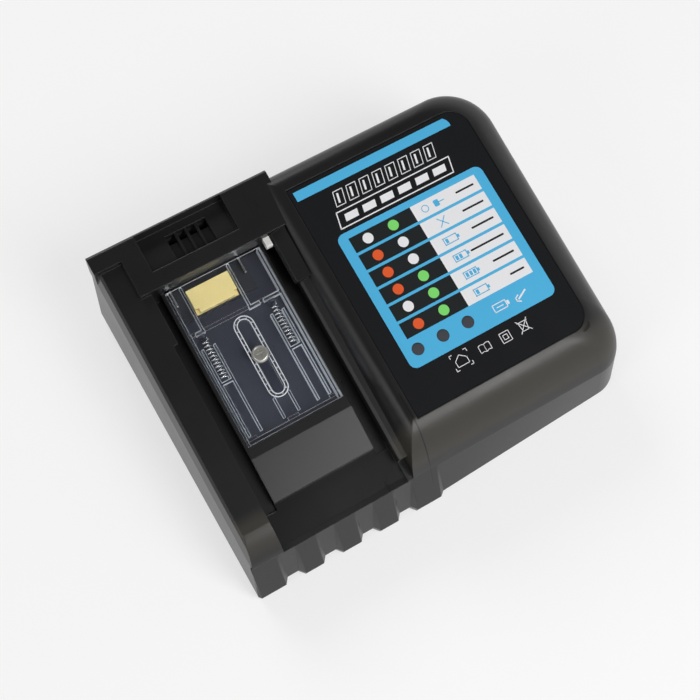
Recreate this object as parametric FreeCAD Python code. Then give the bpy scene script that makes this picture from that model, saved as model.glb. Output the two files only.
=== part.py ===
import FreeCAD, Part
import math
import os
from FreeCAD import Vector

# Power tool battery charger. Millimetres, X to the right, Y to the rear, Z up.
# The origin is the centre of the footprint, on the surface the feet stand on.

# Overall size and the parting of the two case shells
case_width = 190.0
case_depth = 150.0
foot_gap = 1.2
parting_height = 5.6
wall = 2.4
cavity_step = 0.4
half_width = case_width / 2
front = -case_depth / 2
rear = case_depth / 2

# Front wall with its upright bars
front_wall_setback = 9.3
bar_recess = 2.7
bar_chamfer = 2.2
bar_pitch = 18.5
bar_width = 8.6
first_bar_width = 12.8
last_bar_width = 11.8
second_bar_offset = 22.6
bar_count = 5

# Bay: its floor slopes down to the front by this rise per run
bay_slope = 0.16
bay_datum_height = 42.0
deck_height = 7.5
deck_front = rear - 25.0
deck_step_width = 12.4
deck_step_depth = 8.2
bay_shelf = 3.5
rail_height = 5.0
channel_depth = 7.0
pedestal_left = -half_width + 22.5
pedestal_right = pedestal_left + 47.8
channel_width = 5.9
ramp_drop = 2.8
apron_drop = 5.5
lip_overhang = 2.2
lip_thickness = 2.4
lip_front = rear - 47.0
side_lean = 1.8

# Console: the rounded block beside the bay
console_left = -half_width + 78.8
console_left_shoulder = 8.2
console_top_height = 54.8
console_slope = 0.10
console_roll = 18.2
console_roll_lean = 0.4
right_shoulder = 18.0
rear_shoulder = 9.0
front_corner = 14.0
rear_corner = 22.0
console_front_bow = 3.6
rear_inset = 1.0
console_steps = 4
right_lean = 1.5

# Label recess, label and lamp windows
label_left = console_left + 9.9
label_right = half_width - 15.0
label_front = front + 26.4
label_rear = rear - 13.0
label_corner = 9.0
label_recess_depth = 1.0
label_thickness = 0.7
label_clearance = 0.3
lamp_diameter = 5.4
lamp_first_x = console_left + 24.9
lamp_pitch = 12.2
lamp_y = front + 51.6
lamp_count = 3
lens_clearance = 0.05

# Terminal shutter, seen from above in the sloped floor's own frame
shutter_left = pedestal_left + 1.9
shutter_right = pedestal_right - 1.3
shutter_rear = deck_front
shutter_front = shutter_rear - 72.6
shutter_travel = 14.0
ramp_start = shutter_front - 5.4
pedestal_front = ramp_start - 20.0
shutter_depth = 7.4
shutter_clearance = 0.4
travel_gap = 0.35
shutter_wall = 1.2
hood_front = shutter_rear - 21.6
hood_bar = 1.5
plate_thickness = 1.3
plate_sink = 0.4
rim_height = 0.4
lip_height = 0.9
lip_width = 1.6
channel_rib = 1.0
tray_depth = 8.0
slot_width = 4.8
slot_rim_width = 8.6
slot_centre_x = (shutter_left + shutter_right) / 2 + 0.3
slot_rear = hood_front - 1.4
slot_front = shutter_front + 12.0
guide_v = hood_front - 19.4
guide_post_diameter = 4.2
guide_head_diameter = 6.4
guide_head_height = 1.3
guide_washer_diameter = 7.4
guide_washer_thickness = 0.5
guide_post_rise = 0.3
guide_screw_diameter = 2.0

# Return springs
spring_wire = 0.5
spring_mean = 2.8
spring_turns = 9
spring_length = 20.0
spring_left_x = shutter_left + 5.4
spring_right_x = shutter_right - 6.4
spring_depth = 3.6
spring_seat_gap = 0.3
channel_gap = 0.6
spring_post_diameter = 2.4

# Terminals
blade_left_x = shutter_left + 2.3
blade_right_x = shutter_right - 10.0
blade_thickness = 0.8
blade_height = 3.6
blade_front = hood_front + 14.8
blade_top = 2.4
signal_left = shutter_left + 8.1
signal_right = signal_left + 19.8
signal_front = hood_front + 8.2
signal_rear = signal_front + 10.9
signal_top = 2.4
terminal_base_front = shutter_rear + 3.6
terminal_base_depth = 5.0
terminal_plate_front = signal_front - 0.8
terminal_plate_top = 6.0

# Air outlet in the deck
vent_left = -half_width + 23.4
vent_right = vent_left + 40.3
vent_front = rear - 17.8
vent_lip = 1.1
vent_floor = bay_datum_height + bay_slope * rear + 1.6
vent_dish_depth = 2.0
vent_hole_left = vent_left + 12.0
vent_hole_right = vent_hole_left + 18.8
vent_hole_front = rear - 8.6
vent_hole_rear = rear - 5.0
vent_rib = 1.2
vent_rib_count = 3

# Battery sensing plunger
plunger_x = pedestal_right + 2.1
plunger_width = 2.8
plunger_height = 4.0
plunger_rise = 0.4
plunger_reach = 4.0
plunger_travel = 2.5
plunger_length = 9.4
plunger_flange = 1.0
switch_width = 6.4
switch_length = 6.2
switch_height = 4.5
switch_gap = 0.4
plunger_clearance = 0.3

# Fan, board and the parts on it
fan_size = 40.0
fan_depth = 15.0
fan_left = console_left + 20.2
fan_front = rear - 47.0
fan_base = 9.0
fan_bore = 18.4
fan_hub = 9.0
fan_blade_tip_gap = 0.6
fan_blade_count = 7
fan_shaft_diameter = 2.0
shaft_clearance = 0.04
fan_tube = 3.2
fan_plate = 1.5
fan_hub_wall = 1.0
fan_strut = 3.0
fan_blade_thickness = 1.1
fan_blade_angle = 38.0
fan_screw_inset = 4.0
duct_wall = 1.4
duct_base = 13.0
duct_top = 37.0
duct_left = vent_hole_left - 2.8
duct_gap = 0.4
board_thickness = 1.6
board_height = 10.6
board_left = -half_width + 21.0
board_right = half_width - 23.0
board_front = front + 17.0
board_rear = rear - 55.0

core_left = half_width - 57.0
core_front = board_front + 32.0
core_width = 32.0
core_depth = 17.0
core_height = 27.0
core_leg = 5.0
can_x = console_left + 32.2
can_y = board_rear - 18.0
can_diameter = 22.0
can_height = 30.0
can_chamfer = 1.2
can_groove = 1.6
film_left = board_left + 14.0
film_front = board_front + 36.0
film_width = 7.0
film_length = 18.0
film_height = 12.0
film_pitch = 10.0
film_count = 3
sink_left = half_width - 65.0
sink_front = board_rear - 14.0
sink_length = 30.0
sink_base = 2.5
sink_depth = 9.0
sink_height = 24.0
sink_fin = 1.4
sink_fins = 7
fuse_x = board_left + 48.0
fuse_y = board_front + 10.0
fuse_diameter = 5.0
fuse_length = 20.0
buzzer_x = board_left + 28.0
buzzer_y = board_front + 10.0
buzzer_diameter = 12.0
buzzer_height = 6.5
led_height = 5.2
led_gap = 0.5
signal_way_count = 4
lip_tab_width = 5.0
lip_tab_count = 3
spring_bend = 0.8
wire_side_count = 8
intake_left = half_width - 69.0
intake_pitch = 6.4
intake_width = 2.8
intake_count = 8
intake_front = rear - 45.0
intake_rear = rear - 17.0

# Feet, screws and the cord's inlet
foot_diameter = 11.0
foot_height = 2.6
foot_inset = 14.0
screw_diameter = 3.0
screw_head_diameter = 6.0
screw_head_height = 2.0
boss_diameter = 7.0
boss_inset_x = half_width - 13.0
boss_front_y = front + 28.0
boss_rear_y = rear - 29.0
inlet_x = half_width - 35.0
inlet_z = 16.0
inlet_bore = 6.8
gland_body = 12.0
gland_flange = 16.0
gland_flange_thickness = 1.0
gland_length = 10.5
gland_collar = 1.2
fit_gap = 0.05

bay_angle = math.degrees(math.atan(bay_slope))
bay_cos = math.cos(math.radians(bay_angle))
bay_sin = math.sin(math.radians(bay_angle))
FAR = 400.0


def box(x0, x1, y0, y1, z0, z1):
    return Part.makeBox(x1 - x0, y1 - y0, z1 - z0, Vector(x0, y0, z0))


def polygon(points):
    return Part.Face(Part.makePolygon(points + [points[0]]))


def prism_x(points, x0, x1):
    face = polygon([Vector(x0, y, z) for y, z in points])
    return face.extrude(Vector(x1 - x0, 0, 0))


def prism_y(points, y0, y1):
    face = polygon([Vector(x, y0, z) for x, z in points])
    return face.extrude(Vector(0, y1 - y0, 0))


def prism_z(points, z0, z1):
    face = polygon([Vector(x, y, z0) for x, y in points])
    return face.extrude(Vector(0, 0, z1 - z0))


def rod(base, radius, length, direction=Vector(0, 0, 1)):
    return Part.makeCylinder(radius, length, base, direction)


def sloped(shape):
    # From the bay floor's own frame to the charger's frame
    result = shape.copy()
    result.rotate(Vector(0, 0, 0), Vector(1, 0, 0), bay_angle)
    result.translate(Vector(0, 0, bay_datum_height))
    return result


def bay_z(y, w=0.0):
    return bay_datum_height + bay_slope * y + w / bay_cos


def console_z(y):
    return console_top_height + console_slope * y


def arc_edge(start, middle, end):
    return Part.Arc(start, middle, end).toShape()


def corner_arc(centre_x, centre_y, radius, start_deg, end_deg, height):
    angles = [math.radians(a) for a in (start_deg, (start_deg + end_deg) / 2, end_deg)]
    points = []
    for angle in angles:
        x = centre_x + radius * math.cos(angle)
        y = centre_y + radius * math.sin(angle)
        points.append(Vector(x, y, height(y)))
    return arc_edge(*points)


def bar_edges():
    # Left and right end of each upright bar along the front wall
    spans = [(-half_width + 1.2, -half_width + first_bar_width)]
    for index in range(bar_count - 1):
        left = -half_width + second_bar_offset + bar_pitch * index
        width = last_bar_width if index == bar_count - 2 else bar_width
        spans.append((left, left + width))
    return spans


def front_points(face_y, recess_y, console_y0, console_y1, right_x, chamfer):
    points = [(-half_width + 1.2, face_y)]
    spans = bar_edges()
    for index, (left, right) in enumerate(spans):
        if index:
            points.append((left - chamfer, recess_y))
            points.append((left, face_y))
        points.append((right, face_y))
        points.append((right + chamfer, recess_y if index < len(spans) - 1 else console_y0))
    points.append((right_x, console_y1))
    return points


def case_outline(points, left_x, right_x, rear_y, height, front_r, rear_r):
    # Closed outline: front points, rounded right corners, small left corners
    flat = [Vector(x, y, height(y)) for x, y in points]
    last = points[-1]
    corner = 2.0
    tangent_y = last[1] + front_r
    edges = [Part.makeLine(a, b) for a, b in zip(flat, flat[1:])]
    arc = corner_arc(right_x - front_r, tangent_y, front_r, -90, 0, height)
    edges.append(arc)
    up = Vector(right_x, rear_y - rear_r, height(rear_y - rear_r))
    edges.append(Part.makeLine(Vector(right_x, tangent_y, height(tangent_y)), up))
    edges.append(corner_arc(right_x - rear_r, rear_y - rear_r, rear_r, 0, 90, height))
    rear_left = Vector(left_x + corner, rear_y, height(rear_y))
    edges.append(Part.makeLine(Vector(right_x - rear_r, rear_y, height(rear_y)), rear_left))
    edges.append(corner_arc(left_x + corner, rear_y - corner, corner, 90, 180, height))
    low = Vector(left_x, points[0][1] + 1.2, height(points[0][1] + 1.2))
    edges.append(Part.makeLine(Vector(left_x, rear_y - corner, height(rear_y - corner)), low))
    edges.append(Part.makeLine(low, flat[0]))
    return Part.Wire(edges)


def base_outline(height, inset=0.0):
    right_x = half_width - inset
    console_y0 = front + bar_recess - 0.9 + inset
    console_y1 = front + bar_recess + console_front_bow - 0.9 + inset
    points = front_points(front + inset, front + bar_recess + inset, console_y0, console_y1,
                          right_x - front_corner, bar_chamfer)
    return case_outline(points, -half_width + inset, right_x, rear - rear_inset - inset,
                        lambda y: height, front_corner, rear_corner)


def shelf_outline():
    line_y = front + front_wall_setback
    right_x = half_width - right_lean
    points = front_points(line_y, line_y, line_y, line_y, right_x - front_corner, 0.9)
    return case_outline(points, -half_width + side_lean, right_x, rear - rear_inset,
                        lambda y: bay_z(y, -bay_shelf), front_corner, rear_corner)


def skirt():
    return Part.makeLoft([base_outline(parting_height), shelf_outline()], True, True)


def console_section(turn_deg, inset=0.0):
    # One closed outline of the rounded block, from its foot at 0 to its flat top at 90
    turn = math.radians(turn_deg)
    rise = math.sin(turn)
    pull = 1 - math.cos(turn)
    front_pull = (1 - console_roll_lean) * pull + console_roll_lean * rise
    front_y = front + front_wall_setback + console_roll * front_pull + inset
    rear_y = rear - rear_inset - rear_shoulder * pull - inset
    right_x = half_width - right_lean - right_shoulder * pull - inset
    left_x = console_left + console_left_shoulder * pull + inset

    def height(y):
        foot = bay_z(y, -bay_shelf)
        top = console_z(y) - inset
        return foot + (top - foot) * rise

    front_r = front_corner - inset
    rear_r = rear_corner - 4.0 * pull - inset
    fl = Vector(left_x, front_y, height(front_y))
    fr = Vector(right_x - front_r, front_y, height(front_y))
    tangent_y = front_y + front_r
    edges = [Part.makeLine(fl, fr)]
    edges.append(corner_arc(right_x - front_r, tangent_y, front_r, -90, 0, height))
    up = Vector(right_x, rear_y - rear_r, height(rear_y - rear_r))
    edges.append(Part.makeLine(Vector(right_x, tangent_y, height(tangent_y)), up))
    edges.append(corner_arc(right_x - rear_r, rear_y - rear_r, rear_r, 0, 90, height))
    rl = Vector(left_x, rear_y, height(rear_y))
    edges.append(Part.makeLine(Vector(right_x - rear_r, rear_y, height(rear_y)), rl))
    edges.append(Part.makeLine(rl, fl))
    return Part.Wire(edges)


def console_form(inset=0.0):
    # The outside is one smooth form and the inside a plainer one of straight runs
    wires = [console_section(90.0 * step / console_steps, inset) for step in range(console_steps + 1)]
    return Part.makeLoft(wires, True, inset > 0)


def left_rail():
    outline = [(-half_width + side_lean, -bay_shelf), (-half_width + side_lean + 1.6, rail_height - 1.2),
               (-half_width + side_lean + 2.8, rail_height), (pedestal_left - channel_width, rail_height),
               (pedestal_left - channel_width, -bay_shelf)]
    back = rear - deck_step_depth + 4.0
    start = front + front_wall_setback
    section = prism_y(outline, start - 20.0, back)
    nose = Vector(0, start - 1.6, -bay_shelf)
    crest = Vector(0, start + 12.0, rail_height)
    middle = Vector(0, start + 3.2, rail_height - 3.2)
    edges = [arc_edge(nose, middle, crest),
             Part.makeLine(crest, Vector(0, back, rail_height)),
             Part.makeLine(Vector(0, back, rail_height), Vector(0, back, -bay_shelf - 3.0)),
             Part.makeLine(Vector(0, back, -bay_shelf - 3.0), Vector(0, start - 1.6, -bay_shelf - 3.0)),
             Part.makeLine(Vector(0, start - 1.6, -bay_shelf - 3.0), nose)]
    side = Part.Face(Part.Wire(edges))
    side.translate(Vector(-half_width, 0, 0))
    return sloped(section.common(side.extrude(Vector(half_width, 0, 0))))


def right_rail():
    inner = pedestal_right + channel_width
    points = [(inner, -bay_shelf - 1.0), (inner, 2.0), (inner + 1.2, 3.2),
              (console_left + 4.0, rail_height + 1.0), (console_left + 4.0, -bay_shelf - 1.0)]
    return sloped(prism_y(points, front + front_wall_setback + 8.0, deck_front + 4.0))


def rail_lips():
    left_wall = pedestal_left - channel_width
    right_wall = pedestal_right + channel_width
    low = rail_height - lip_thickness
    left_lip = box(left_wall - 3.0, left_wall + lip_overhang, lip_front, deck_front + 3.0, low, rail_height)
    right_lip = prism_y([(right_wall - lip_overhang, low), (right_wall + 5.0, low),
                         (right_wall + 5.0, rail_height + 2.4), (right_wall - lip_overhang + 1.0, rail_height)],
                        lip_front, deck_front + 3.0)
    return [sloped(left_lip), sloped(right_lip)]


def pedestal():
    points = [(deck_front + 4.0, 0.0), (ramp_start, 0.0), (pedestal_front, -ramp_drop),
              (pedestal_front, -channel_depth - 1.0), (deck_front + 4.0, -channel_depth - 1.0)]
    return sloped(prism_x(points, pedestal_left, pedestal_right))


def channel_cuts():
    start = pedestal_front - 3.0
    cuts = []
    for inner in (pedestal_left - channel_width, pedestal_right):
        cuts.append(sloped(box(inner, inner + channel_width, start, deck_front, -channel_depth, 1.0)))
    left = pedestal_left - channel_width
    right = pedestal_right + channel_width
    apron = [(pedestal_front, 6.0), (pedestal_front, -apron_drop),
             (front + front_wall_setback + 1.0, -apron_drop + 0.6),
             (front + front_wall_setback - 2.6, -bay_shelf), (front + front_wall_setback - 2.6, 6.0)]
    cuts.append(sloped(prism_x(apron, left, right)))
    return cuts


def deck():
    back_x = -half_width + side_lean
    top_rear = deck_height
    edge = 1.2

    def slab(x0, x1, y0):
        points = [(y0, bay_z(y0, top_rear)), (rear - edge, bay_z(rear - edge, top_rear)),
                  (rear, bay_z(rear, top_rear) - edge), (rear, bay_z(rear, -bay_shelf) - 4.0),
                  (y0, bay_z(y0, -bay_shelf) - 4.0)]
        return prism_x(points, x0, x1)

    wide = slab(back_x, console_left + 7.0, rear - deck_step_depth)
    main = slab(back_x + deck_step_width, console_left + 7.0, deck_front)
    return wide.fuse(main)


def vent_cuts():
    z_top = bay_z(rear, deck_height) + 5.0
    recess = box(vent_left, vent_right, vent_front, rear - vent_lip, vent_floor, z_top)
    dish_floor = vent_floor - vent_dish_depth
    hole = box(vent_hole_left, vent_hole_right, vent_hole_front, vent_hole_rear, vent_floor - 6.0, z_top)
    hole = hole.fuse(box(vent_hole_left, vent_hole_right, vent_front + 1.4, vent_hole_rear, dish_floor, z_top))
    pitch = (vent_hole_right - vent_hole_left) / (vent_rib_count + 1)
    for index in range(vent_rib_count):
        middle = vent_hole_left + pitch * (index + 1)
        rib = box(middle - vent_rib / 2, middle + vent_rib / 2, vent_front, vent_hole_rear + 1.0,
                  vent_floor - 7.0, vent_floor - 0.5)
        hole = hole.cut(rib)
    return [recess, hole]


def shutter_tray():
    gap = shutter_clearance
    end = shutter_rear + shutter_travel + 0.5
    return sloped(box(shutter_left - gap, shutter_right + gap, shutter_front - gap, end, -tray_depth, 0.2))


def shutter_opening():
    # Way for the shutter under the deck, above the floor of its tray
    gap = shutter_clearance
    end = shutter_rear + shutter_travel + 0.5
    return sloped(box(shutter_left - gap, shutter_right + gap, deck_front - 2.0, end, -tray_depth, 0.4))


def bay_cavity():
    low = -tray_depth - wall
    start = front + bar_recess + wall + 0.6
    inner_front = front + front_wall_setback + 2.0
    points = [(start, parting_height - 1.0), (start, parting_height), (inner_front, bay_z(inner_front, low)),
              (rear - rear_inset - wall, bay_z(rear - wall, low)), (rear - rear_inset - wall, parting_height - 1.0)]
    return prism_x(points, -half_width + 2.0 * wall, console_left + 6.0)


def deck_cavity():
    top = deck_height - wall
    back = rear - rear_inset - wall
    start = deck_front + wall
    points = [(start, bay_z(start, 0.0)), (start, bay_z(start, top)), (back, bay_z(back, top)),
              (back, bay_z(back, -12.0)),
              (start + 12.0, bay_z(start + 12.0, -12.0)), (start + 12.0, bay_z(start + 12.0, 0.0))]
    room = prism_x(points, -half_width + side_lean + deck_step_width + wall, console_left + 3.0)
    roof = box(vent_left - wall, vent_right + wall, vent_front - wall, rear,
               vent_floor - vent_dish_depth - 1.0, FAR)
    return room.cut(roof)


def console_cavity():
    inner = console_form(wall)
    left = console_left + wall
    low = parting_height - 1.0
    top = front + front_wall_setback + 4.0
    start = front + bar_recess + console_front_bow + wall
    right = half_width - wall - 2.2
    back = rear - rear_inset - wall - cavity_step
    points = [(start, low), (start, parting_height), (top, bay_z(top, -bay_shelf)),
              (back, bay_z(rear, -bay_shelf)), (back, low)]
    lower = prism_x(points, left, right)
    edges = [edge for edge in lower.Edges if upright_at(edge, right, back)]
    lower = lower.makeFillet(rear_corner - wall - 0.5, edges)
    edges = [edge for edge in lower.Edges if leaning_at(edge, right, start)]
    lower = lower.makeFillet(front_corner - wall, edges)
    return [inner, lower]


def upright_at(edge, x, y):
    box_of = edge.BoundBox
    return abs(box_of.XMin - x) < 0.01 and abs(box_of.XMax - x) < 0.01 and abs(box_of.YMin - y) < 0.01 \
        and abs(box_of.YMax - y) < 0.01


def leaning_at(edge, x, y):
    box_of = edge.BoundBox
    return abs(box_of.XMin - x) < 0.01 and abs(box_of.XMax - x) < 0.01 and abs(box_of.YMin - y) < 0.01 \
        and box_of.ZMax > parting_height + 1.0 and box_of.YMax < y + 20.0


def label_sheet(grow, low, high):
    # Rounded sheet parallel to the console's top, between two heights above it
    x0 = label_left - grow
    x1 = label_right + grow
    y0 = label_front - grow
    y1 = label_rear + grow
    radius = label_corner + grow

    def top(y):
        return console_z(y) + low

    edges = [Part.makeLine(Vector(x0, y0, top(y0)), Vector(x1 - radius, y0, top(y0)))]
    edges.append(corner_arc(x1 - radius, y0 + radius, radius, -90, 0, top))
    edges.append(Part.makeLine(Vector(x1, y0 + radius, top(y0 + radius)),
                               Vector(x1, y1 - radius, top(y1 - radius))))
    edges.append(corner_arc(x1 - radius, y1 - radius, radius, 0, 90, top))
    edges.append(Part.makeLine(Vector(x1 - radius, y1, top(y1)), Vector(x0, y1, top(y1))))
    edges.append(Part.makeLine(Vector(x0, y1, top(y1)), Vector(x0, y0, top(y0))))
    return Part.Face(Part.Wire(edges)).extrude(Vector(0, 0, high - low))


def label_plate():
    low = -label_recess_depth
    plate = label_sheet(-label_clearance, low, low + label_thickness)
    for centre in lamp_centres():
        plate = plate.cut(rod(Vector(centre.x, centre.y, 0), lamp_diameter / 2, FAR))
    return plate


def lamp_centres():
    centres = []
    for index in range(lamp_count):
        x = lamp_first_x + lamp_pitch * index
        centres.append(Vector(x, lamp_y, console_z(lamp_y) - label_recess_depth))
    return centres


def plunger_box(grow, v0, v1):
    half = plunger_width / 2 + grow
    return sloped(box(plunger_x - half, plunger_x + half, v0, v1, plunger_rise - grow,
                      plunger_rise + plunger_height + grow))


def post(x, y, top):
    return rod(Vector(x, y, parting_height), boss_diameter / 2, top - parting_height)


def boss_places():
    # Screw posts of the case with the height that each one reaches
    right = boss_inset_x - 6.0
    roof = bay_z(0, -tray_depth - wall) + 1.0
    return [(-boss_inset_x, boss_front_y, roof + bay_slope * boss_front_y),
            (-boss_inset_x, boss_rear_y, roof + bay_slope * boss_rear_y),
            (right, boss_front_y, console_z(boss_front_y) - wall * 0.6),
            (right, boss_rear_y, console_z(boss_rear_y) - wall * 0.6)]


def guide_post():
    base = Vector(slot_centre_x, guide_v, -tray_depth - 0.5)
    column = rod(base, guide_post_diameter / 2, tray_depth + guide_post_rise + 0.5)
    bore = rod(Vector(slot_centre_x, guide_v, -tray_depth + 1.0), guide_screw_diameter / 2, tray_depth)
    return sloped(column.cut(bore))


def spring_places():
    return [spring_left_x, spring_right_x]


def spring_posts():
    posts = []
    for x in spring_places():
        low = -tray_depth - 0.5
        block = box(x - spring_post_diameter / 2, x + spring_post_diameter / 2, hood_front - 1.6, hood_front - 0.4,
                    low, -plate_sink - plate_thickness - 0.3)
        posts.append(sloped(block))
    return posts


def upper_case():
    outer = skirt()
    solids = [console_form(), left_rail(), right_rail(), deck()]
    body = outer
    for solid in solids:
        body = body.fuse(solid)
    for cut in channel_cuts():
        body = body.cut(cut)
    body = body.fuse(pedestal())
    for lip in rail_lips():
        body = body.fuse(lip)
    cavities = [bay_cavity(), deck_cavity()] + console_cavity()
    for cavity in cavities:
        body = body.cut(cavity)
    for cut in vent_cuts() + [shutter_tray(), shutter_opening()]:
        body = body.cut(cut)
    body = body.cut(label_sheet(0.0, -label_recess_depth, 12.0))
    for centre in lamp_centres():
        body = body.cut(rod(Vector(centre.x, centre.y, 0), lamp_diameter / 2, FAR))
    body = body.cut(plunger_box(plunger_clearance, deck_front - 2.0, deck_front + 6.0))
    for x, y, top in boss_places():
        body = body.fuse(post(x, y, top))
    for x, y, top in boss_places():
        body = body.cut(rod(Vector(x, y, parting_height - 1.0), screw_diameter / 2, 12.0))
    body = body.fuse(guide_post())
    for block in spring_posts() + led_posts():
        body = body.fuse(block)
    body = body.cut(rod(Vector(inlet_x, rear - 8.0, inlet_z), gland_body / 2, 20.0, Vector(0, 1, 0)))
    return body.removeSplitter()


def lower_case():
    shell = Part.makeLoft([base_outline(foot_gap, 0.5), base_outline(parting_height)], True, True)
    floor = foot_gap + wall - 0.2
    left = -half_width + wall + 1.2
    right = half_width - wall - 1.2
    low = front + bar_recess + wall + 0.6
    bow = low + console_front_bow
    back = rear - rear_inset - wall
    cut_corner = rear_corner * 0.7
    inside = prism_z([(left, low), (console_left, low), (console_left, bow), (right - front_corner, bow),
                      (right, bow + front_corner), (right, back - cut_corner), (right - cut_corner, back),
                      (left, back)], floor, parting_height + 1.0)
    shell = shell.cut(inside)
    for x, y, top in boss_places():
        shell = shell.fuse(rod(Vector(x, y, foot_gap + 0.6), boss_diameter / 2 + 1.0,
                               parting_height - foot_gap - 0.6))
    for x, y in board_screw_places():
        shell = shell.fuse(rod(Vector(x, y, foot_gap + 1.0), boss_diameter / 2, board_height - foot_gap - 1.0))
    for y in (fan_front + 1.5, fan_front + fan_size - 4.5):
        shell = shell.fuse(box(fan_left, fan_left + fan_depth, y, y + 3.0, foot_gap + 1.0, fan_base))
    for x, y, top in boss_places():
        shell = shell.cut(rod(Vector(x, y, 0), screw_head_diameter / 2 + 0.3, foot_gap + screw_head_height + 0.4))
        shell = shell.cut(rod(Vector(x, y, 0), screw_diameter / 2 + 0.2, parting_height + 1.0))
    for x, y in board_screw_places():
        shell = shell.cut(rod(Vector(x, y, board_height - 5.0), screw_diameter / 2 - 0.4, 10.0))
    for x, y in foot_places():
        shell = shell.cut(rod(Vector(x, y, 0), foot_diameter / 2 + fit_gap, foot_height))
    for index in range(intake_count):
        x = intake_left + intake_pitch * index
        shell = shell.cut(box(x, x + intake_width, intake_front, intake_rear, 0, floor + 1.0))
    return shell.removeSplitter()


def foot_places():
    x = half_width - foot_inset
    y = case_depth / 2 - foot_inset
    return [(-x, -y), (x, -y), (-x, y), (x - 3.0, y - 3.0)]


def rubber_feet():
    feet = []
    for x, y in foot_places():
        foot = rod(Vector(x, y, 0), foot_diameter / 2, foot_height)
        rim = [edge for edge in foot.Edges if edge.BoundBox.ZMax < 0.01]
        feet.append(foot.makeChamfer(0.5, rim))
    return Part.makeCompound(feet)


def board_screw_places():
    inset = 6.0
    return [(board_left + inset, board_front + inset), (board_right - inset, board_front + inset),
            (board_left + inset, board_rear - inset), (board_right - inset, board_rear - inset)]


def pan_screw(x, y, head_z, upward, length, diameter, head_diameter):
    # Head at head_z and shank running up or down from it
    sign = 1 if upward else -1
    head = rod(Vector(x, y, head_z), head_diameter / 2, screw_head_height, Vector(0, 0, -sign))
    shank = rod(Vector(x, y, head_z), diameter / 2, length, Vector(0, 0, sign))
    socket = rod(Vector(x, y, head_z - sign * screw_head_height), head_diameter / 5, 1.0, Vector(0, 0, sign))
    return head.fuse(shank).cut(socket)


def case_screws():
    height = foot_gap + screw_head_height + 0.4
    reach = parting_height + 6.0 - height
    screws = [pan_screw(x, y, height, True, reach, screw_diameter - 2 * fit_gap, screw_head_diameter)
              for x, y, top in boss_places()]
    return Part.makeCompound(screws)


def board_screws():
    height = board_height + board_thickness
    shank = screw_diameter - 0.8 - 2 * fit_gap
    screws = [pan_screw(x, y, height, False, 6.0, shank, screw_head_diameter - 1.0)
              for x, y in board_screw_places()]
    return Part.makeCompound(screws)


def main_board():
    board = box(board_left, board_right, board_front, board_rear, board_height, board_height + board_thickness)
    for x, y in board_screw_places():
        board = board.cut(rod(Vector(x, y, board_height - 1.0), screw_diameter / 2 - 0.3, 5.0))
    return board


def board_top():
    return board_height + board_thickness


def transformer_core():
    z0 = board_top() + 0.1
    width = core_width
    leg = core_leg
    outer = box(core_left, core_left + width, core_front, core_front + core_depth, z0, z0 + core_height)
    for x in (core_left + leg, core_left + width / 2 + leg / 2):
        window = (width - 3 * leg) / 2
        outer = outer.cut(box(x, x + window, core_front - 1.0, core_front + core_depth + 1.0, z0 + leg,
                              z0 + core_height - leg))
    return outer


def transformer_winding():
    z0 = board_top() + 0.1 + core_leg
    leg = core_leg
    x0 = core_left + leg
    x1 = core_left + core_width - leg
    gap = 0.2
    coil = box(x0 + gap, x1 - gap, core_front - 8.0, core_front + core_depth + 8.0, z0 + gap,
               z0 + core_height - 2 * leg - gap)
    uprights = [edge for edge in coil.Edges if edge.BoundBox.ZLength > 5.0]
    coil = coil.makeFillet(4.0, uprights)
    middle = core_left + core_width / 2
    hollow = box(middle - leg / 2 - gap, middle + leg / 2 + gap, core_front - gap,
                 core_front + core_depth + gap, 0, FAR)
    return coil.cut(hollow)


def bulk_capacitor():
    can = rod(Vector(can_x, can_y, board_top()), can_diameter / 2, can_height)
    top = [edge for edge in can.Edges if edge.BoundBox.ZMin > board_top() + can_height - 0.01]
    can = can.makeChamfer(can_chamfer, top)
    low = board_top() + 3.0
    outer = rod(Vector(can_x, can_y, low), can_diameter, can_groove)
    core = Part.makeCone(can_diameter / 2, can_diameter / 2 - can_groove / 2, can_groove / 2,
                         Vector(can_x, can_y, low))
    upper = Part.makeCone(can_diameter / 2 - can_groove / 2, can_diameter / 2, can_groove / 2,
                          Vector(can_x, can_y, low + can_groove / 2))
    return can.cut(outer.cut(core.fuse(upper)))


def film_capacitors():
    z0 = board_top()
    blocks = []
    for index in range(film_count):
        x = film_left + film_pitch * index
        block = box(x, x + film_width, film_front, film_front + film_length, z0, z0 + film_height)
        tops = [edge for edge in block.Edges if edge.BoundBox.ZMin > z0 + film_height - 0.01]
        blocks.append(block.makeFillet(0.8, tops))
    return Part.makeCompound(blocks)


def heat_sink():
    z0 = board_top()
    back = sink_front + sink_base
    sink = box(sink_left, sink_left + sink_length, sink_front, back, z0, z0 + sink_height)
    pitch = (sink_length - sink_fin) / (sink_fins - 1)
    for index in range(sink_fins):
        x = sink_left + pitch * index
        sink = sink.fuse(box(x, x + sink_fin, back, back + sink_depth, z0, z0 + sink_height))
    return sink.removeSplitter()


def fuse_link():
    z = board_top() + fuse_diameter / 2 + 0.4
    body = rod(Vector(fuse_x, fuse_y, z), fuse_diameter / 2, fuse_length, Vector(1, 0, 0))
    for x in (fuse_x - 0.3, fuse_x + fuse_length - 4.7):
        body = body.fuse(rod(Vector(x, fuse_y, z), fuse_diameter / 2 + 0.3, 5.0, Vector(1, 0, 0)))
    return body


def buzzer():
    disc = rod(Vector(buzzer_x, buzzer_y, board_top()), buzzer_diameter / 2, buzzer_height)
    return disc.cut(rod(Vector(buzzer_x, buzzer_y, board_top() + buzzer_height - 1.5), 1.0, 3.0))


def led_board_top():
    return console_z(lamp_y) - wall - led_height - led_gap


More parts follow.
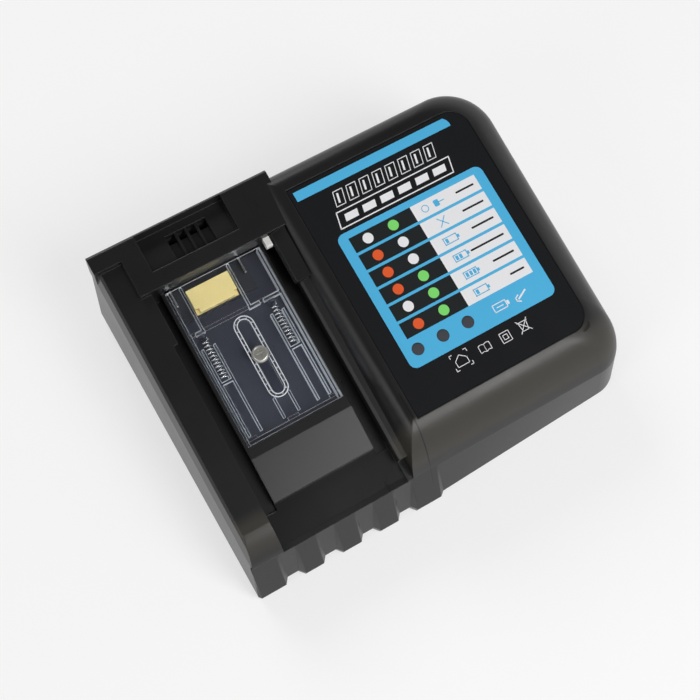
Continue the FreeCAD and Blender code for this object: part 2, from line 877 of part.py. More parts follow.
def led_posts():
    posts = []
    for index in range(lamp_count - 1):
        x = lamp_first_x + lamp_pitch * (index + 0.5)
        posts.append(rod(Vector(x, lamp_y, led_board_top()), 1.8,
                         console_z(lamp_y) - wall + 0.8 - led_board_top()))
    return posts


def led_board():
    x0 = lamp_first_x - lamp_diameter - 0.5
    x1 = lamp_first_x + lamp_pitch * (lamp_count - 1) + lamp_diameter + 0.5
    top = led_board_top()
    return box(x0, x1, lamp_y - 6.0, lamp_y + 6.0, top - board_thickness, top)


def indicator_leds():
    leds = []
    for centre in lamp_centres():
        top = led_board_top()
        radius = lamp_diameter / 2 - 0.3
        body = rod(Vector(centre.x, centre.y, top), radius, led_height)
        rim = [edge for edge in body.Edges if edge.BoundBox.ZMin > top + led_height - 0.01]
        collar = rod(Vector(centre.x, centre.y, top), radius + 0.4, 0.9)
        leds.append(body.makeChamfer(0.45 * radius, rim).fuse(collar))
    return Part.makeCompound(leds)


def indicator_lenses():
    lenses = []
    for centre in lamp_centres():
        low = centre.z - wall + label_recess_depth + 0.1
        high = centre.z + label_thickness - 0.1
        lenses.append(rod(Vector(centre.x, centre.y, low), lamp_diameter / 2 - lens_clearance, high - low))
    return Part.makeCompound(lenses)


def slot_shape(width, v0, v1, w0, w1):
    # Racetrack slot along the floor, v0 and v1 being its outer ends
    radius = width / 2
    x = slot_centre_x
    shape = box(x - radius, x + radius, v0 + radius, v1 - radius, w0, w1)
    for v in (v0 + radius, v1 - radius):
        shape = shape.fuse(rod(Vector(x, v, w0), radius, w1 - w0))
    return shape


def spring_front():
    return hood_front - 1.6 - spring_seat_gap - spring_length


def terminal_shutter():
    top = -plate_sink
    low = -shutter_depth
    under = top - plate_thickness
    sheet = box(shutter_left, shutter_right, shutter_front, shutter_rear, under, top)
    body = sheet
    for x in (shutter_left, shutter_right - shutter_wall):
        body = body.fuse(box(x, x + shutter_wall, shutter_front, shutter_rear, low, top))
    bar = box(shutter_left, shutter_right, hood_front, hood_front + hood_bar, -terminal_plate_top + 0.4, top + 0.3)
    window_top = -signal_top + 0.5
    bar = bar.cut(box(signal_left - 0.6, signal_right + 0.6, 0, FAR, low, window_top))
    for x in (blade_left_x, blade_right_x):
        bar = bar.cut(box(x - 0.9, x + 0.9, 0, FAR, low, -blade_top + 0.4))
    body = body.fuse(bar)
    for x in (signal_left - 0.8 - channel_rib, signal_right + 0.8):
        body = body.fuse(box(x, x + channel_rib, hood_front, shutter_rear, -terminal_plate_top + 0.5, top))
    half = spring_mean / 2 + spring_wire / 2 + channel_gap
    stop = spring_front() - spring_seat_gap
    rib_end = signal_front - shutter_travel - travel_gap
    for x in spring_places():
        for side in (x - half - channel_rib, x + half):
            body = body.fuse(box(side, side + channel_rib, shutter_front + 3.6, rib_end,
                                 -spring_depth - half, under + 0.1))
        body = body.fuse(box(x - half, x + half, stop - 1.2, stop, -spring_depth - half, under + 0.1))
    for x in (slot_centre_x - slot_rim_width / 2 + 0.3, slot_centre_x + slot_rim_width / 2 - 1.3):
        body = body.fuse(box(x, x + channel_rib, shutter_front + 3.6, slot_front + 1.0, -4.6, under + 0.1))
    rim = slot_shape(slot_rim_width, slot_front, slot_rear, -signal_top + travel_gap, top + rim_height)
    well = slot_shape(slot_rim_width - 2 * shutter_wall, slot_front + shutter_wall, slot_rear - shutter_wall,
                      top - 0.8, top + rim_height + 1.0)
    body = body.fuse(rim).cut(well)
    slot_end = guide_v + slot_width / 2 + 0.4
    body = body.cut(slot_shape(slot_width, slot_front + shutter_wall + 0.4, slot_end, low - 1.0, 2.0))
    lip = box(shutter_left, shutter_right, shutter_front, shutter_front + lip_width, -3.2, top + lip_height)
    body = body.fuse(lip)
    span = (shutter_right - shutter_left - lip_tab_width) / (lip_tab_count - 1)
    for index in range(lip_tab_count):
        x = shutter_left + span * index
        body = body.fuse(box(x, x + lip_tab_width, shutter_front, shutter_front + lip_width + 1.2, top - 0.2,
                             top + lip_height))
    return sloped(body.removeSplitter())


def shutter_guide_washer():
    low = guide_post_rise
    ring = rod(Vector(slot_centre_x, guide_v, low), guide_washer_diameter / 2, guide_washer_thickness)
    return sloped(ring.cut(rod(Vector(slot_centre_x, guide_v, low - 1.0), guide_screw_diameter / 2 + 0.1, 5.0)))


def shutter_guide_screw():
    seat = guide_post_rise + guide_washer_thickness
    head = rod(Vector(slot_centre_x, guide_v, seat), guide_head_diameter / 2, guide_head_height)
    rim = [edge for edge in head.Edges if edge.BoundBox.ZMin > seat + guide_head_height - 0.01]
    head = head.makeFillet(0.5, rim)
    shank = rod(Vector(slot_centre_x, guide_v, seat - 7.0), guide_screw_diameter / 2 - fit_gap, 7.0)
    reach = 1.6
    for across in ((reach, 0.35), (0.35, reach)):
        cross = box(slot_centre_x - across[0], slot_centre_x + across[0], guide_v - across[1], guide_v + across[1],
                    seat + guide_head_height - 0.7, seat + 5.0)
        head = head.cut(cross)
    return sloped(head.fuse(shank))


def half_arc(start, tangent, end, control):
    # Circular arc from start to end whose end tangents meet at control
    chord = end - start
    middle = (start + end) * 0.5
    out = control - middle
    half = chord.Length / 2
    turn = tangent.getAngle(chord)
    sagitta = half * math.tan(turn / 2)
    out.normalize()
    return arc_edge(start, middle + out * sagitta, end)


def biarc(p0, t0, p1, t1):
    # Two arcs that leave p0 along t0 and reach p1 along t1
    span = p1 - p0
    a = 2 * (t0.dot(t1) - 1)
    b = -2 * span.dot(t0 + t1)
    c = span.dot(span)
    reach = (-b - math.sqrt(b * b - 4 * a * c)) / (2 * a)
    q0 = p0 + t0 * reach
    q1 = p1 - t1 * reach
    joint = (q0 + q1) * 0.5
    direction = q1 - q0
    direction.normalize()
    return [half_arc(p0, t0, joint, q0), half_arc(joint, direction, p1, q1)]


def coil_point(turns_done):
    angle = 2 * math.pi * turns_done
    radius = spring_mean / 2
    rise = spring_pitch() * turns_done
    point = Vector(radius * math.cos(angle), radius * math.sin(angle), rise)
    tangent = Vector(-radius * math.sin(angle), radius * math.cos(angle), spring_pitch() / (2 * math.pi))
    tangent.normalize()
    return point, tangent


def spring_lead():
    return 2 * spring_wire + spring_bend


def spring_pitch():
    return (spring_length - 2 * spring_lead()) / spring_turns


def coil_spring():
    # Round wire coil along Z from 0 to spring_length, each end bent straight along the axis
    bend = spring_bend
    flat = Vector(0, 1, 0)
    first = Vector(spring_mean / 2, 0, 0)
    last = Vector(spring_mean / 2, 0, spring_pitch() * spring_turns)
    low = first - flat * bend - Vector(0, 0, bend)
    high = last + flat * bend + Vector(0, 0, bend)
    leg = Vector(0, 0, 2 * spring_wire)
    root = math.sqrt(0.5) * bend
    low_middle = Vector(first.x, low.y + bend - root, low.z + root)
    high_middle = Vector(last.x, high.y - bend + root, high.z - root)
    edges = [Part.makeLine(low - leg, low), arc_edge(low, low_middle, first)]
    steps = spring_turns * 2
    point, tangent = first, flat
    for index in range(steps):
        next_point, next_tangent = coil_point((index + 1) / 2)
        if index == steps - 1:
            next_tangent = flat
        edges += biarc(point, tangent, next_point, next_tangent)
        point, tangent = next_point, next_tangent
    edges += [arc_edge(last, high_middle, high), Part.makeLine(high, high + leg)]
    path = Part.Wire(edges)
    corners = []
    for index in range(wire_side_count):
        angle = 2 * math.pi * index / wire_side_count
        corners.append(low - leg + Vector(math.cos(angle), math.sin(angle), 0) * (spring_wire / 2))
    ring = Part.makePolygon(corners + [corners[0]])
    spring = path.makePipeShell([ring], True, False)
    spring.translate(Vector(0, 0, spring_lead()))
    return spring


def report_spring_gap():
    samples = []
    count = 24 * spring_turns
    for index in range(count + 1):
        samples.append(coil_point(index * spring_turns / count)[0])
    apart = 18
    least = min((samples[i] - samples[j]).Length for i in range(count) for j in range(i + apart, count + 1))
    print("spring least gap to itself", round(least - spring_wire, 3))


def shutter_spring(x):
    spring = coil_spring()
    spring.rotate(Vector(0, 0, 0), Vector(1, 0, 0), -90)
    spring.translate(Vector(x, spring_front(), -spring_depth))
    return sloped(spring)


def shutter_spring_left():
    return shutter_spring(spring_left_x)


def shutter_spring_right():
    return shutter_spring(spring_right_x)


def blade_solid(x, grow=0.0):
    half = blade_thickness / 2 + grow
    return box(x - half, x + half, blade_front, terminal_base_front + terminal_base_depth - 1.0,
               -blade_top - blade_height, -blade_top)


def contact_blade(x):
    blade = blade_solid(x)
    nose = [edge for edge in blade.Edges
            if edge.BoundBox.XLength > 0.1 and edge.BoundBox.YMax < blade_front + 0.01]
    return sloped(blade.makeChamfer(0.35 * blade_thickness, nose))


def positive_blade():
    return contact_blade(blade_left_x)


def negative_blade():
    return contact_blade(blade_right_x)


def signal_block():
    low = -terminal_plate_top
    block = box(signal_left, signal_right, signal_front, signal_rear, low, -signal_top)
    for x in (signal_left, signal_right - 1.6):
        block = block.cut(box(x, x + 1.6, signal_front, signal_front + 2.2, low + 1.0, 0))
    pitch = (signal_right - signal_left) / (signal_way_count + 1)
    for index in range(signal_way_count):
        x = signal_left + pitch * (index + 1)
        block = block.cut(box(x - 0.6, x + 0.6, signal_front - 1.0, signal_front + 6.0,
                              low + 0.7, -signal_top - 0.9))
    return block


def signal_connector():
    return sloped(signal_block())


def terminal_base():
    low = -tray_depth
    plate = box(blade_left_x - 0.6, blade_right_x + 2.0, terminal_plate_front,
                terminal_base_front + terminal_base_depth, low, -terminal_plate_top)
    block = box(blade_left_x - 0.6, blade_right_x + 2.0, terminal_base_front,
                terminal_base_front + terminal_base_depth, low, -plate_sink - plate_thickness - 0.4)
    base = plate.fuse(block)
    for x in (signal_left - 0.8 - channel_rib, signal_right + 0.8):
        base = base.cut(box(x - 0.4, x + channel_rib + 0.4, terminal_base_front - 1.0, FAR,
                            -terminal_plate_top, 1.0))
    for x in (blade_left_x, blade_right_x):
        base = base.cut(blade_solid(x))
    return sloped(base.removeSplitter())


def sense_plunger():
    v_face = deck_front / bay_cos + (plunger_rise + plunger_height / 2) * bay_sin / bay_cos
    v0 = v_face - plunger_reach
    half = plunger_width / 2
    stem = box(plunger_x - half, plunger_x + half, v0, v0 + plunger_length, plunger_rise,
               plunger_rise + plunger_height)
    nose = [edge for edge in stem.Edges if edge.BoundBox.XLength > 1.0 and edge.BoundBox.YMax < v0 + 0.01]
    stem = stem.makeFillet(0.9, nose)
    flange_v = v_face + wall / bay_cos + 0.6
    flange = box(plunger_x - half - plunger_flange, plunger_x + half + plunger_flange, flange_v, flange_v + 1.0,
                 plunger_rise, plunger_rise + plunger_height)
    return sloped(stem.fuse(flange))


def sense_switch():
    v_face = deck_front / bay_cos + (plunger_rise + plunger_height / 2) * bay_sin / bay_cos
    v0 = v_face - plunger_reach + plunger_length + plunger_travel + switch_gap
    half = switch_width / 2
    case = box(plunger_x - half, plunger_x + half, v0, v0 + switch_length, 0.05, 0.05 + switch_height)
    return sloped(case)


def fan_centre():
    return Vector(fan_left, fan_front + fan_size / 2, fan_base + fan_size / 2)


def fan_rod(x0, x1, radius):
    centre = fan_centre()
    return rod(Vector(x0, centre.y, centre.z), radius, x1 - x0, Vector(1, 0, 0))


def fan_frame():
    centre = fan_centre()
    x0 = fan_left
    x1 = fan_left + fan_depth
    frame = box(x0, x1, fan_front, fan_front + fan_size, fan_base, fan_base + fan_size)
    sides = [edge for edge in frame.Edges if edge.BoundBox.XLength > fan_depth - 0.1]
    frame = frame.makeFillet(3.0, sides)
    frame = frame.cut(fan_rod(x0 - 1.0, x1 + 1.0, fan_bore))
    struts = fan_rod(x0, x0 + fan_plate, fan_hub)
    for turn in (45, 135):
        strut = box(x0, x0 + fan_plate, centre.y - fan_bore - 1.0, centre.y + fan_bore + 1.0,
                    centre.z - fan_strut / 2, centre.z + fan_strut / 2)
        strut.rotate(Vector(x0, centre.y, centre.z), Vector(1, 0, 0), turn)
        struts = struts.fuse(strut)
    frame = frame.fuse(struts).fuse(fan_rod(x0, x0 + fan_depth * 0.55, fan_tube))
    frame = frame.cut(fan_rod(x0 - 1.0, x1 + 1.0, fan_shaft_diameter / 2 + shaft_clearance))
    inset = fan_screw_inset
    for y in (fan_front + inset, fan_front + fan_size - inset):
        for z in (fan_base + inset, fan_base + fan_size - inset):
            frame = frame.cut(rod(Vector(x0 - 1.0, y, z), 1.7, fan_depth + 2.0, Vector(1, 0, 0)))
    return frame.removeSplitter()


def fan_rotor():
    centre = fan_centre()
    x0 = fan_left + fan_plate + 1.2
    x1 = fan_left + fan_depth - 1.0
    hub = fan_rod(x0, x1, fan_hub).cut(fan_rod(x0 - 1.0, x1 - fan_hub_wall, fan_hub - fan_hub_wall))
    tip = fan_bore - fan_blade_tip_gap
    chord = (x1 - x0 - 1.4) / math.cos(math.radians(fan_blade_angle))
    rotor = hub
    for index in range(fan_blade_count):
        wires = []
        for radius, twist in ((fan_hub - 0.5, fan_blade_angle), (tip, fan_blade_angle + 14.0)):
            length = (x1 - x0 - 1.4) / math.cos(math.radians(twist)) if radius < fan_hub else chord
            turn = math.radians(twist)
            along = Vector(math.cos(turn), math.sin(turn), 0) * (min(length, chord) / 2 * 0.92)
            across = Vector(-math.sin(turn), math.cos(turn), 0) * (fan_blade_thickness / 2)
            middle = Vector((x0 + x1) / 2, centre.y, centre.z + radius)
            corners = [middle - along - across, middle + along - across,
                       middle + along + across, middle - along + across]
            wires.append(Part.makePolygon(corners + [corners[0]]))
        blade = Part.makeLoft(wires, True, True)
        blade.rotate(centre, Vector(1, 0, 0), 360.0 / fan_blade_count * index)
        rotor = rotor.fuse(blade)
    rotor = rotor.common(fan_rod(x0, x1, tip))
    return rotor.removeSplitter()


def fan_shaft():
    return fan_rod(fan_left + 0.4, fan_left + fan_depth - 1.0 - fan_hub_wall, fan_shaft_diameter / 2)


def fan_screws():
    screws = []
    inset = fan_screw_inset
    x1 = fan_left + fan_depth
    for y in (fan_front + inset, fan_front + fan_size - inset):
        for z in (fan_base + inset, fan_base + fan_size - inset):
            shank = rod(Vector(x1 - fan_depth + 1.0, y, z), 1.5, fan_depth - 1.0, Vector(1, 0, 0))
            head = rod(Vector(x1, y, z), 2.8, 1.6, Vector(1, 0, 0))
            screws.append(shank.fuse(head))
    return Part.makeCompound(screws)


def duct_rooms(shrink):
    back = rear - rear_inset - wall - duct_gap
    right = fan_left - duct_gap
    open_end = 1.0 if shrink else 0.0
    run = box(duct_left + shrink, right - shrink, deck_front + shrink, back - shrink, duct_base + shrink,
              duct_top - shrink)
    mouth = box(right - 9.0 + shrink, right + open_end, fan_front + shrink, back - shrink, fan_base + 0.4 + shrink,
                fan_base + fan_size - shrink)
    riser = box(vent_hole_left - duct_wall + shrink, vent_hole_right + duct_wall - shrink,
                vent_hole_front - duct_wall + shrink, vent_hole_rear + duct_wall - shrink, duct_top - 3.0,
                vent_floor - vent_dish_depth - 1.1 + open_end)
    return run.fuse(mouth).fuse(riser)


def air_duct():
    return duct_rooms(0.0).cut(duct_rooms(duct_wall)).removeSplitter()


def cord_gland():
    wall_y = rear - rear_inset
    along = Vector(0, 1, 0)
    body = rod(Vector(inlet_x, wall_y - gland_length, inlet_z), gland_body / 2 - fit_gap, gland_length, along)
    flange = rod(Vector(inlet_x, wall_y, inlet_z), gland_flange / 2, gland_flange_thickness, along)
    collar_y = wall_y - wall - cavity_step - 0.1 - gland_collar
    collar = rod(Vector(inlet_x, collar_y, inlet_z), gland_flange / 2 - 0.8, gland_collar, along)
    rim = [edge for edge in flange.Edges if edge.BoundBox.YMin > wall_y + gland_flange_thickness - 0.01]
    flange = flange.makeChamfer(0.5, rim)
    gland = body.fuse(flange).fuse(collar)
    past = gland_length + gland_flange_thickness
    hole = rod(Vector(inlet_x, wall_y - past, inlet_z), inlet_bore / 2, 2 * past, along)
    return gland.cut(hole).removeSplitter()


MAKERS = [
    upper_case, lower_case, label_plate, indicator_lenses, indicator_leds, led_board,
    terminal_shutter, shutter_spring_left, shutter_spring_right, shutter_guide_screw, shutter_guide_washer,
    signal_connector, positive_blade, negative_blade, terminal_base, sense_plunger, sense_switch,
    fan_frame, fan_rotor, fan_shaft, fan_screws, air_duct, main_board, transformer_core,
    transformer_winding, bulk_capacitor, film_capacitors, heat_sink, fuse_link, buzzer, board_screws,
    case_screws, rubber_feet, cord_gland,
]


os.makedirs("parts", exist_ok=True)
report_spring_gap()
for make in MAKERS:
    solid = make()
    solid.exportStep("parts/" + make.__name__ + ".step")
    print(make.__name__, solid.isValid(), len(solid.Solids), round(solid.Volume, 1))
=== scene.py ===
import math

import bmesh
import bpy
from bpy.props import FloatProperty, FloatVectorProperty, IntProperty, PointerProperty
from mathutils import Matrix, Vector


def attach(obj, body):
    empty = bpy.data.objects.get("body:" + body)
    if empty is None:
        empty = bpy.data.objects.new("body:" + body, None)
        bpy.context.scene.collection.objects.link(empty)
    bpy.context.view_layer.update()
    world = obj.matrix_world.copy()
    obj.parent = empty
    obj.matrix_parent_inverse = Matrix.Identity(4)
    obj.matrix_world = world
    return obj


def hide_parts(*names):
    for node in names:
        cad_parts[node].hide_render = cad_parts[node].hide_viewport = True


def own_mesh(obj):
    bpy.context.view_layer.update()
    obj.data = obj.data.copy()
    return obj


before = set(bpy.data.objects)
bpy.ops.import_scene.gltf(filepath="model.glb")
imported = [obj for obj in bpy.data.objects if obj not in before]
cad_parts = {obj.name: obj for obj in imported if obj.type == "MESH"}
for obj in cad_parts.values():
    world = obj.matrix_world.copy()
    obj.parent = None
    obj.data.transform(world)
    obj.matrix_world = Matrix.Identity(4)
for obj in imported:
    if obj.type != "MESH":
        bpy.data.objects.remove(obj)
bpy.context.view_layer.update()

bl_info = {
    "name": "Battery charger",
    "version": (1, 0, 0),
    "blender": (4, 5, 0),
    "location": "View3D > Sidebar > Charger",
    "description": "Dresses the battery charger and sets up its studio",
    "category": "Object",
}

MM = 0.001
WHITE = (1.0, 1.0, 1.0, 1.0)

# The bay floor's own frame: u to the right, v up the slope, w square to the floor
BAY_SLOPE = 0.16
BAY_ANGLE = math.atan(BAY_SLOPE)
BAY_DATUM = 42.0

# Where finishes and painted light change over the shells and the inner parts, in millimetres; a box
# of numbers is left, right, front and rear
PARTING_HEIGHT = 5.6
SEAM_X = -7.9
SEAM_FRONT, SEAM_REAR = -70.0, -36.0
# The tray under the clear shutter, painted lighter and bluer as painted light for its look through the
# shutter
TRAY = (-71.2, -25.4, -24.0, 51.0)
TRAY_DEPTH = 1.9
# The vent dish, painted near black below VENT_TOP as painted shade inside the vent
VENT = (-59.9, -40.5, 58.0, 70.4)
VENT_TOP = 55.3
# The front roll's region, whose warmer, lighter colour is a painted sheen where it mirrors the sheen lamp
ROLL_START, ROLL_FULL = 45.0, 52.0
ROLL_LOW, ROLL_HIGH = 30.0, 36.0
FUSE_CAPS = (-21.3, -10.7)
SLEEVE_BAND = (22.0, 30.0)
WINDING_PITCH = 0.9

# The shutter's two springs and its guide slot, in the bay's frame
SPRING_PLACES = (("left", -65.2), ("right", -32.4))
SPRING_REAR = 26.5
SPRING_LENGTH = 20.0
SPRING_DEPTH = -3.6
SLOT_X = -48.0
SLOT_ENDS = ((22.7, 0), (-6.3, 180))
SLOT_LIFT = 0.04
RIB_PATH = 3.65
RIB_SIZE = (0.5, 1.15, 0.5)
BEAD_PATHS = (("inner", 3.0), ("outer", 4.35))

# The label's sheet is parallel to the console's top. Its print lies on it as films, one on another
LABEL_HEIGHT = 54.5
LABEL_RISE = 0.10
SHEET, FIRST_FILM, SECOND_FILM, THIRD_FILM = 0.0, 0.03, 0.05, 0.07

# The print, in millimetres on the sheet: the header strip, the field, its lamps and its rows
STRIP_LEFT, STRIP_RIGHT = -4.0, 72.0
STRIP_FRONT, STRIP_REAR = 55.4, 59.8
FIELD = (2.2, 73.6, -30.4, 34.4, 3.4)
LAMP_PLACES = ((8.7, -23.4), (20.9, -23.4), (33.1, -23.4))
LAMP_RADIUS = 2.72
ROWS = 6
ROW_TOP = 31.4
ROW_PITCH = 8.4
ROW_GAP = 1.25
ROW_LEFT, ROW_MIDDLE, ROW_RIGHT = 6.8, 36.9, 69.1
DOT_PLACES = (14.4, 26.8)
DOT_RADIUS = 2.35
DOT_COLOURS = (("white", "green"), ("orange", "white"), ("orange", "white"), ("orange", "green"),
               ("white", "green"), ("orange", "green"))
CAPTION_RIGHT = 66.8
CAPTION_WIDTHS = (9.0, 10.5, 11.0, 16.5, 10.5, 7.0)
HOUSE, BOOK, SQUARES, BIN = (22.3, -36.0), (33.8, -36.2), (43.9, -36.4), (53.2, -36.0)
FINE_LINE = 0.3
SYMBOL_LINE = 0.4

# The stage: each lamp's place, the point it looks at, its width and its height, all in metres
FLOOR_REACH = 3.0
STUDIO_LAMPS = {"key": ((-0.2, 1.4, 0.95), (0.0, 0.0, 0.02), 0.9, 0.7),
                "fill": ((-1.25, -0.35, 0.7), (0.0, 0.0, 0.02), 0.5, 0.5),
                "sheen": ((0.32, -0.66, 0.82), (0.02, -0.05, 0.04), 0.5, 0.75)}
CAMERA_PLACE = (-0.12611, -0.14774, 0.55999)
CAMERA_TURN = (18.92001, -2.91833, -30.17308)


def on_bay(u, v, w):
    """A point of the bay's frame, in the object's frame and in metres."""
    turned = Matrix.Rotation(BAY_ANGLE, 4, "X") @ Vector((u, v, w))
    return (turned + Vector((0.0, 0.0, BAY_DATUM))) * MM


def on_label(x, y, lift):
    """A point of the label's sheet, lifted off it, in metres."""
    return Vector((x, y, LABEL_HEIGHT + LABEL_RISE * y + lift)) * MM


class Shade:
    """One socket of a finish, with arithmetic that adds Math nodes."""

    def __init__(self, finish, socket):
        self.finish = finish
        self.socket = socket

    def calc(self, operation, *others):
        values = dict(enumerate((self,) + others))
        return self.finish.add("ShaderNodeMath", {"operation": operation}, values)

    def swapped(self, operation, other):
        return self.finish.add("ShaderNodeMath", {"operation": operation}, {0: other, 1: self})

    def __add__(self, other):
        return self.calc("ADD", other)

    __radd__ = __add__

    def __sub__(self, other):
        return self.calc("SUBTRACT", other)

    def __rsub__(self, other):
        return self.swapped("SUBTRACT", other)

    def __mul__(self, other):
        return self.calc("MULTIPLY", other)

    __rmul__ = __mul__

    def __abs__(self):
        return self.calc("ABSOLUTE")

    def __gt__(self, other):
        return self.calc("GREATER_THAN", other)

    def __lt__(self, other):
        return self.calc("LESS_THAN", other)


class Finish:
    """A material or a sky, and the one method that makes its nodes."""

    def __init__(self, name, kind="materials", place="Object"):
        self.owner = getattr(bpy.data, kind).new(name)
        self.owner.use_nodes = True
        self.tree = self.owner.node_tree
        self.tree.nodes.clear()
        self.place = self.add("ShaderNodeTexCoord", out=place)

    def add(self, kind, settings=None, values=None, out=0):
        node = self.tree.nodes.new(kind)
        for key, value in (settings or {}).items():
            setattr(node, key, value)
        for key, value in (values or {}).items():
            if isinstance(value, Shade):
                self.tree.links.new(value.socket, node.inputs[key])
            else:
                node.inputs[key].default_value = value
        return None if out is None else Shade(self, node.outputs[out])

    def xyz(self):
        split = self.add("ShaderNodeSeparateXYZ", None, {0: self.place})
        outputs = split.socket.node.outputs
        return [Shade(self, outputs[index]) for index in range(3)]

    def noise(self, scale, detail=3.0, stretch=None, distortion=0.0):
        place = self.place
        if stretch:
            place = self.add("ShaderNodeMapping", {"vector_type": "POINT"},
                             {"Vector": place, "Scale": stretch})
        values = {"Vector": place, "Scale": scale, "Detail": detail, "Distortion": distortion}
        return self.add("ShaderNodeTexNoise", None, values)

    def wave(self, scale, distortion):
        return self.add("ShaderNodeTexWave", {"wave_type": "BANDS", "bands_direction": "Z"},
                        {"Vector": self.place, "Scale": scale, "Distortion": distortion})

    def step(self, value, low, high):
        return self.add("ShaderNodeMapRange", {"interpolation_type": "SMOOTHSTEP"},
                        {"Value": value, "From Min": low, "From Max": high})

    def tint(self, first, second, mask):
        node = self.add("ShaderNodeMix", {"data_type": "RGBA"}, out=2)
        inputs = node.socket.node.inputs
        for index, value in ((0, mask), (6, first), (7, second)):
            if isinstance(value, Shade):
                self.tree.links.new(value.socket, inputs[index])
            else:
                inputs[index].default_value = rgba(value) if index else value
        return node

    def within(self, x, y, edges):
        left, right, front, rear = [edge * MM for edge in edges]
        return (x > left) * (x < right) * (y > front) * (y < rear)

    def background_rays(self):
        """1 for rays that see the backdrop: from the camera, mirrored and through clear parts."""
        seen = self.add("ShaderNodeLightPath", out="Is Camera Ray")
        for ray in ("Is Glossy Ray", "Is Transmission Ray"):
            seen = seen.calc("MAXIMUM", self.add("ShaderNodeLightPath", out=ray))
        return seen

    def surface(self, values, height=None, bump=0.2, depth=0.00005, edge=0.0):
        values = dict(values)
        if height is not None:
            relief = {"Strength": bump, "Distance": depth, "Height": height}
            if edge:
                relief["Normal"] = self.add("ShaderNodeBevel", {"samples": 4}, {"Radius": edge})
            values["Normal"] = self.add("ShaderNodeBump", None, relief)
        return self.ended(self.add("ShaderNodeBsdfPrincipled", None, values))

    def ended(self, shader, output="ShaderNodeOutputMaterial"):
        self.add(output, None, {"Surface": shader}, out=None)
        return self.owner


def rgba(colour):
    return tuple(colour)[:3] + (1.0,)


def scaled(colour, factor):
    return tuple(min(1.0, channel * factor) for channel in tuple(colour)[:3])


def moulded(name, colour, roughness, grain=2400.0, bump=0.12):
    """Moulded plastic with spark-eroded grain and faint handling marks."""
    finish = Finish(name)
    fine = finish.noise(grain, 2.0)
    broad = finish.noise(45.0, 4.0)
    rubbed = finish.step(finish.noise(260.0, 5.0, (1.0, 0.12, 1.0), 0.4), 0.58, 0.72)
    tone = finish.tint(scaled(colour, 0.86), scaled(colour, 1.16), broad)
    rough = roughness + (broad - 0.5) * 0.14 + rubbed * -0.06
    return finish.surface({"Base Color": tone, "Roughness": rough}, fine + rubbed * 0.2, bump, 0.00004)


def case_plastic(settings):
    """The case's charcoal plastic: grained, with its parting line and the seam beside the bay, painted
    sheen on the front roll, painted light on the tray and painted shade in the vent dish.
    """
    finish = Finish("case_charcoal")
    x, y, z = finish.xyz()
    grain = finish.noise(settings.grain, 2.0)
    coarse = finish.noise(settings.grain * 0.42, 2.0)
    broad = finish.noise(32.0, 4.0)
    rubbed = finish.step(finish.noise(310.0, 5.0, (1.0, 0.1, 1.0), 0.5), 0.6, 0.74)
    dust = finish.step(finish.noise(1500.0, 1.0), 0.73, 0.8)
    parting = 1.0 - finish.step(abs(z - PARTING_HEIGHT * MM), 0.1 * MM, 0.32 * MM)
    seam_reach = (y < SEAM_REAR * MM) * (y > SEAM_FRONT * MM)
    seam = (1.0 - finish.step(abs(x - SEAM_X * MM), 0.12 * MM, 0.45 * MM)) * seam_reach
    line = parting + seam - parting * seam
    drop = z - y * BAY_SLOPE - BAY_DATUM * MM
    tray = finish.within(x, y, TRAY) * (drop < -TRAY_DEPTH * MM)
    dish_shade = finish.within(x, y, VENT) * (z < VENT_TOP * MM)
    forward = finish.step(y * -1.0, ROLL_START * MM, ROLL_FULL * MM)
    roll = forward * finish.step(z, ROLL_LOW * MM, ROLL_HIGH * MM)
    tone = finish.tint(scaled(settings.case_colour, 0.85), scaled(settings.case_colour, 1.2), broad)
    # Painted sheen: the front roll is tinted lighter and warmer
    tone = finish.tint(tone, settings.roll_sheen_colour, roll * 0.55)
    tone = finish.tint(tone, scaled(settings.case_colour, 2.4), dust * 0.35)
    # Painted light: the tray under the clear shutter is lighter and bluer
    tone = finish.tint(tone, settings.tray_painted_light, tray)
    # Near black: the parting line and the seam are real dark joints; the vent dish is painted shade
    tone = finish.tint(tone, scaled(settings.case_colour, 0.1), line + dish_shade - line * dish_shade)
    rough = settings.roughness + (broad - 0.5) * 0.1 - rubbed * 0.05 + roll * 0.04 + dish_shade * 0.5
    height = grain * (1.0 - roll * 0.4) + coarse * roll * 1.4 - line * 5.0
    values = {"Base Color": tone, "Roughness": rough, "Specular IOR Level": 0.42}
    return finish.surface(values, height, settings.grain_strength, 0.00006, settings.edge)


def gloss_label(name, colour):
    """Glossy printed sheet with a faint orange-peel and a few dust specks."""
    finish = Finish(name)
    peel = finish.noise(190.0, 2.0)
    dust = finish.step(finish.noise(1300.0, 1.0), 0.75, 0.81)
    smear = finish.noise(60.0, 3.0, (1.0, 0.3, 1.0), 0.6)
    tone = finish.tint(colour, scaled(colour, 1.5), dust * 0.5)
    values = {"Base Color": tone, "Roughness": 0.16 + smear * 0.14, "Specular IOR Level": 0.35}
    return finish.surface(values, peel, 0.05, 0.0001)


def ink(name, colour, drift=0.04):
    """Screen-printed ink: a fine halftone grain and a slight drift of tone."""
    finish = Finish(name)
    grain = finish.noise(3800.0, 1.0)
    slow = finish.noise(28.0, 3.0)
    tone = finish.tint(scaled(colour, 1.0 - drift), scaled(colour, 1.0 + drift), slow)
    tone = finish.tint(tone, scaled(colour, 0.9), grain * 0.2)
    values = {"Base Color": tone, "Roughness": 0.3 + slow * 0.08, "Specular IOR Level": 0.3}
    return finish.surface(values, grain, 0.04, 0.00002)


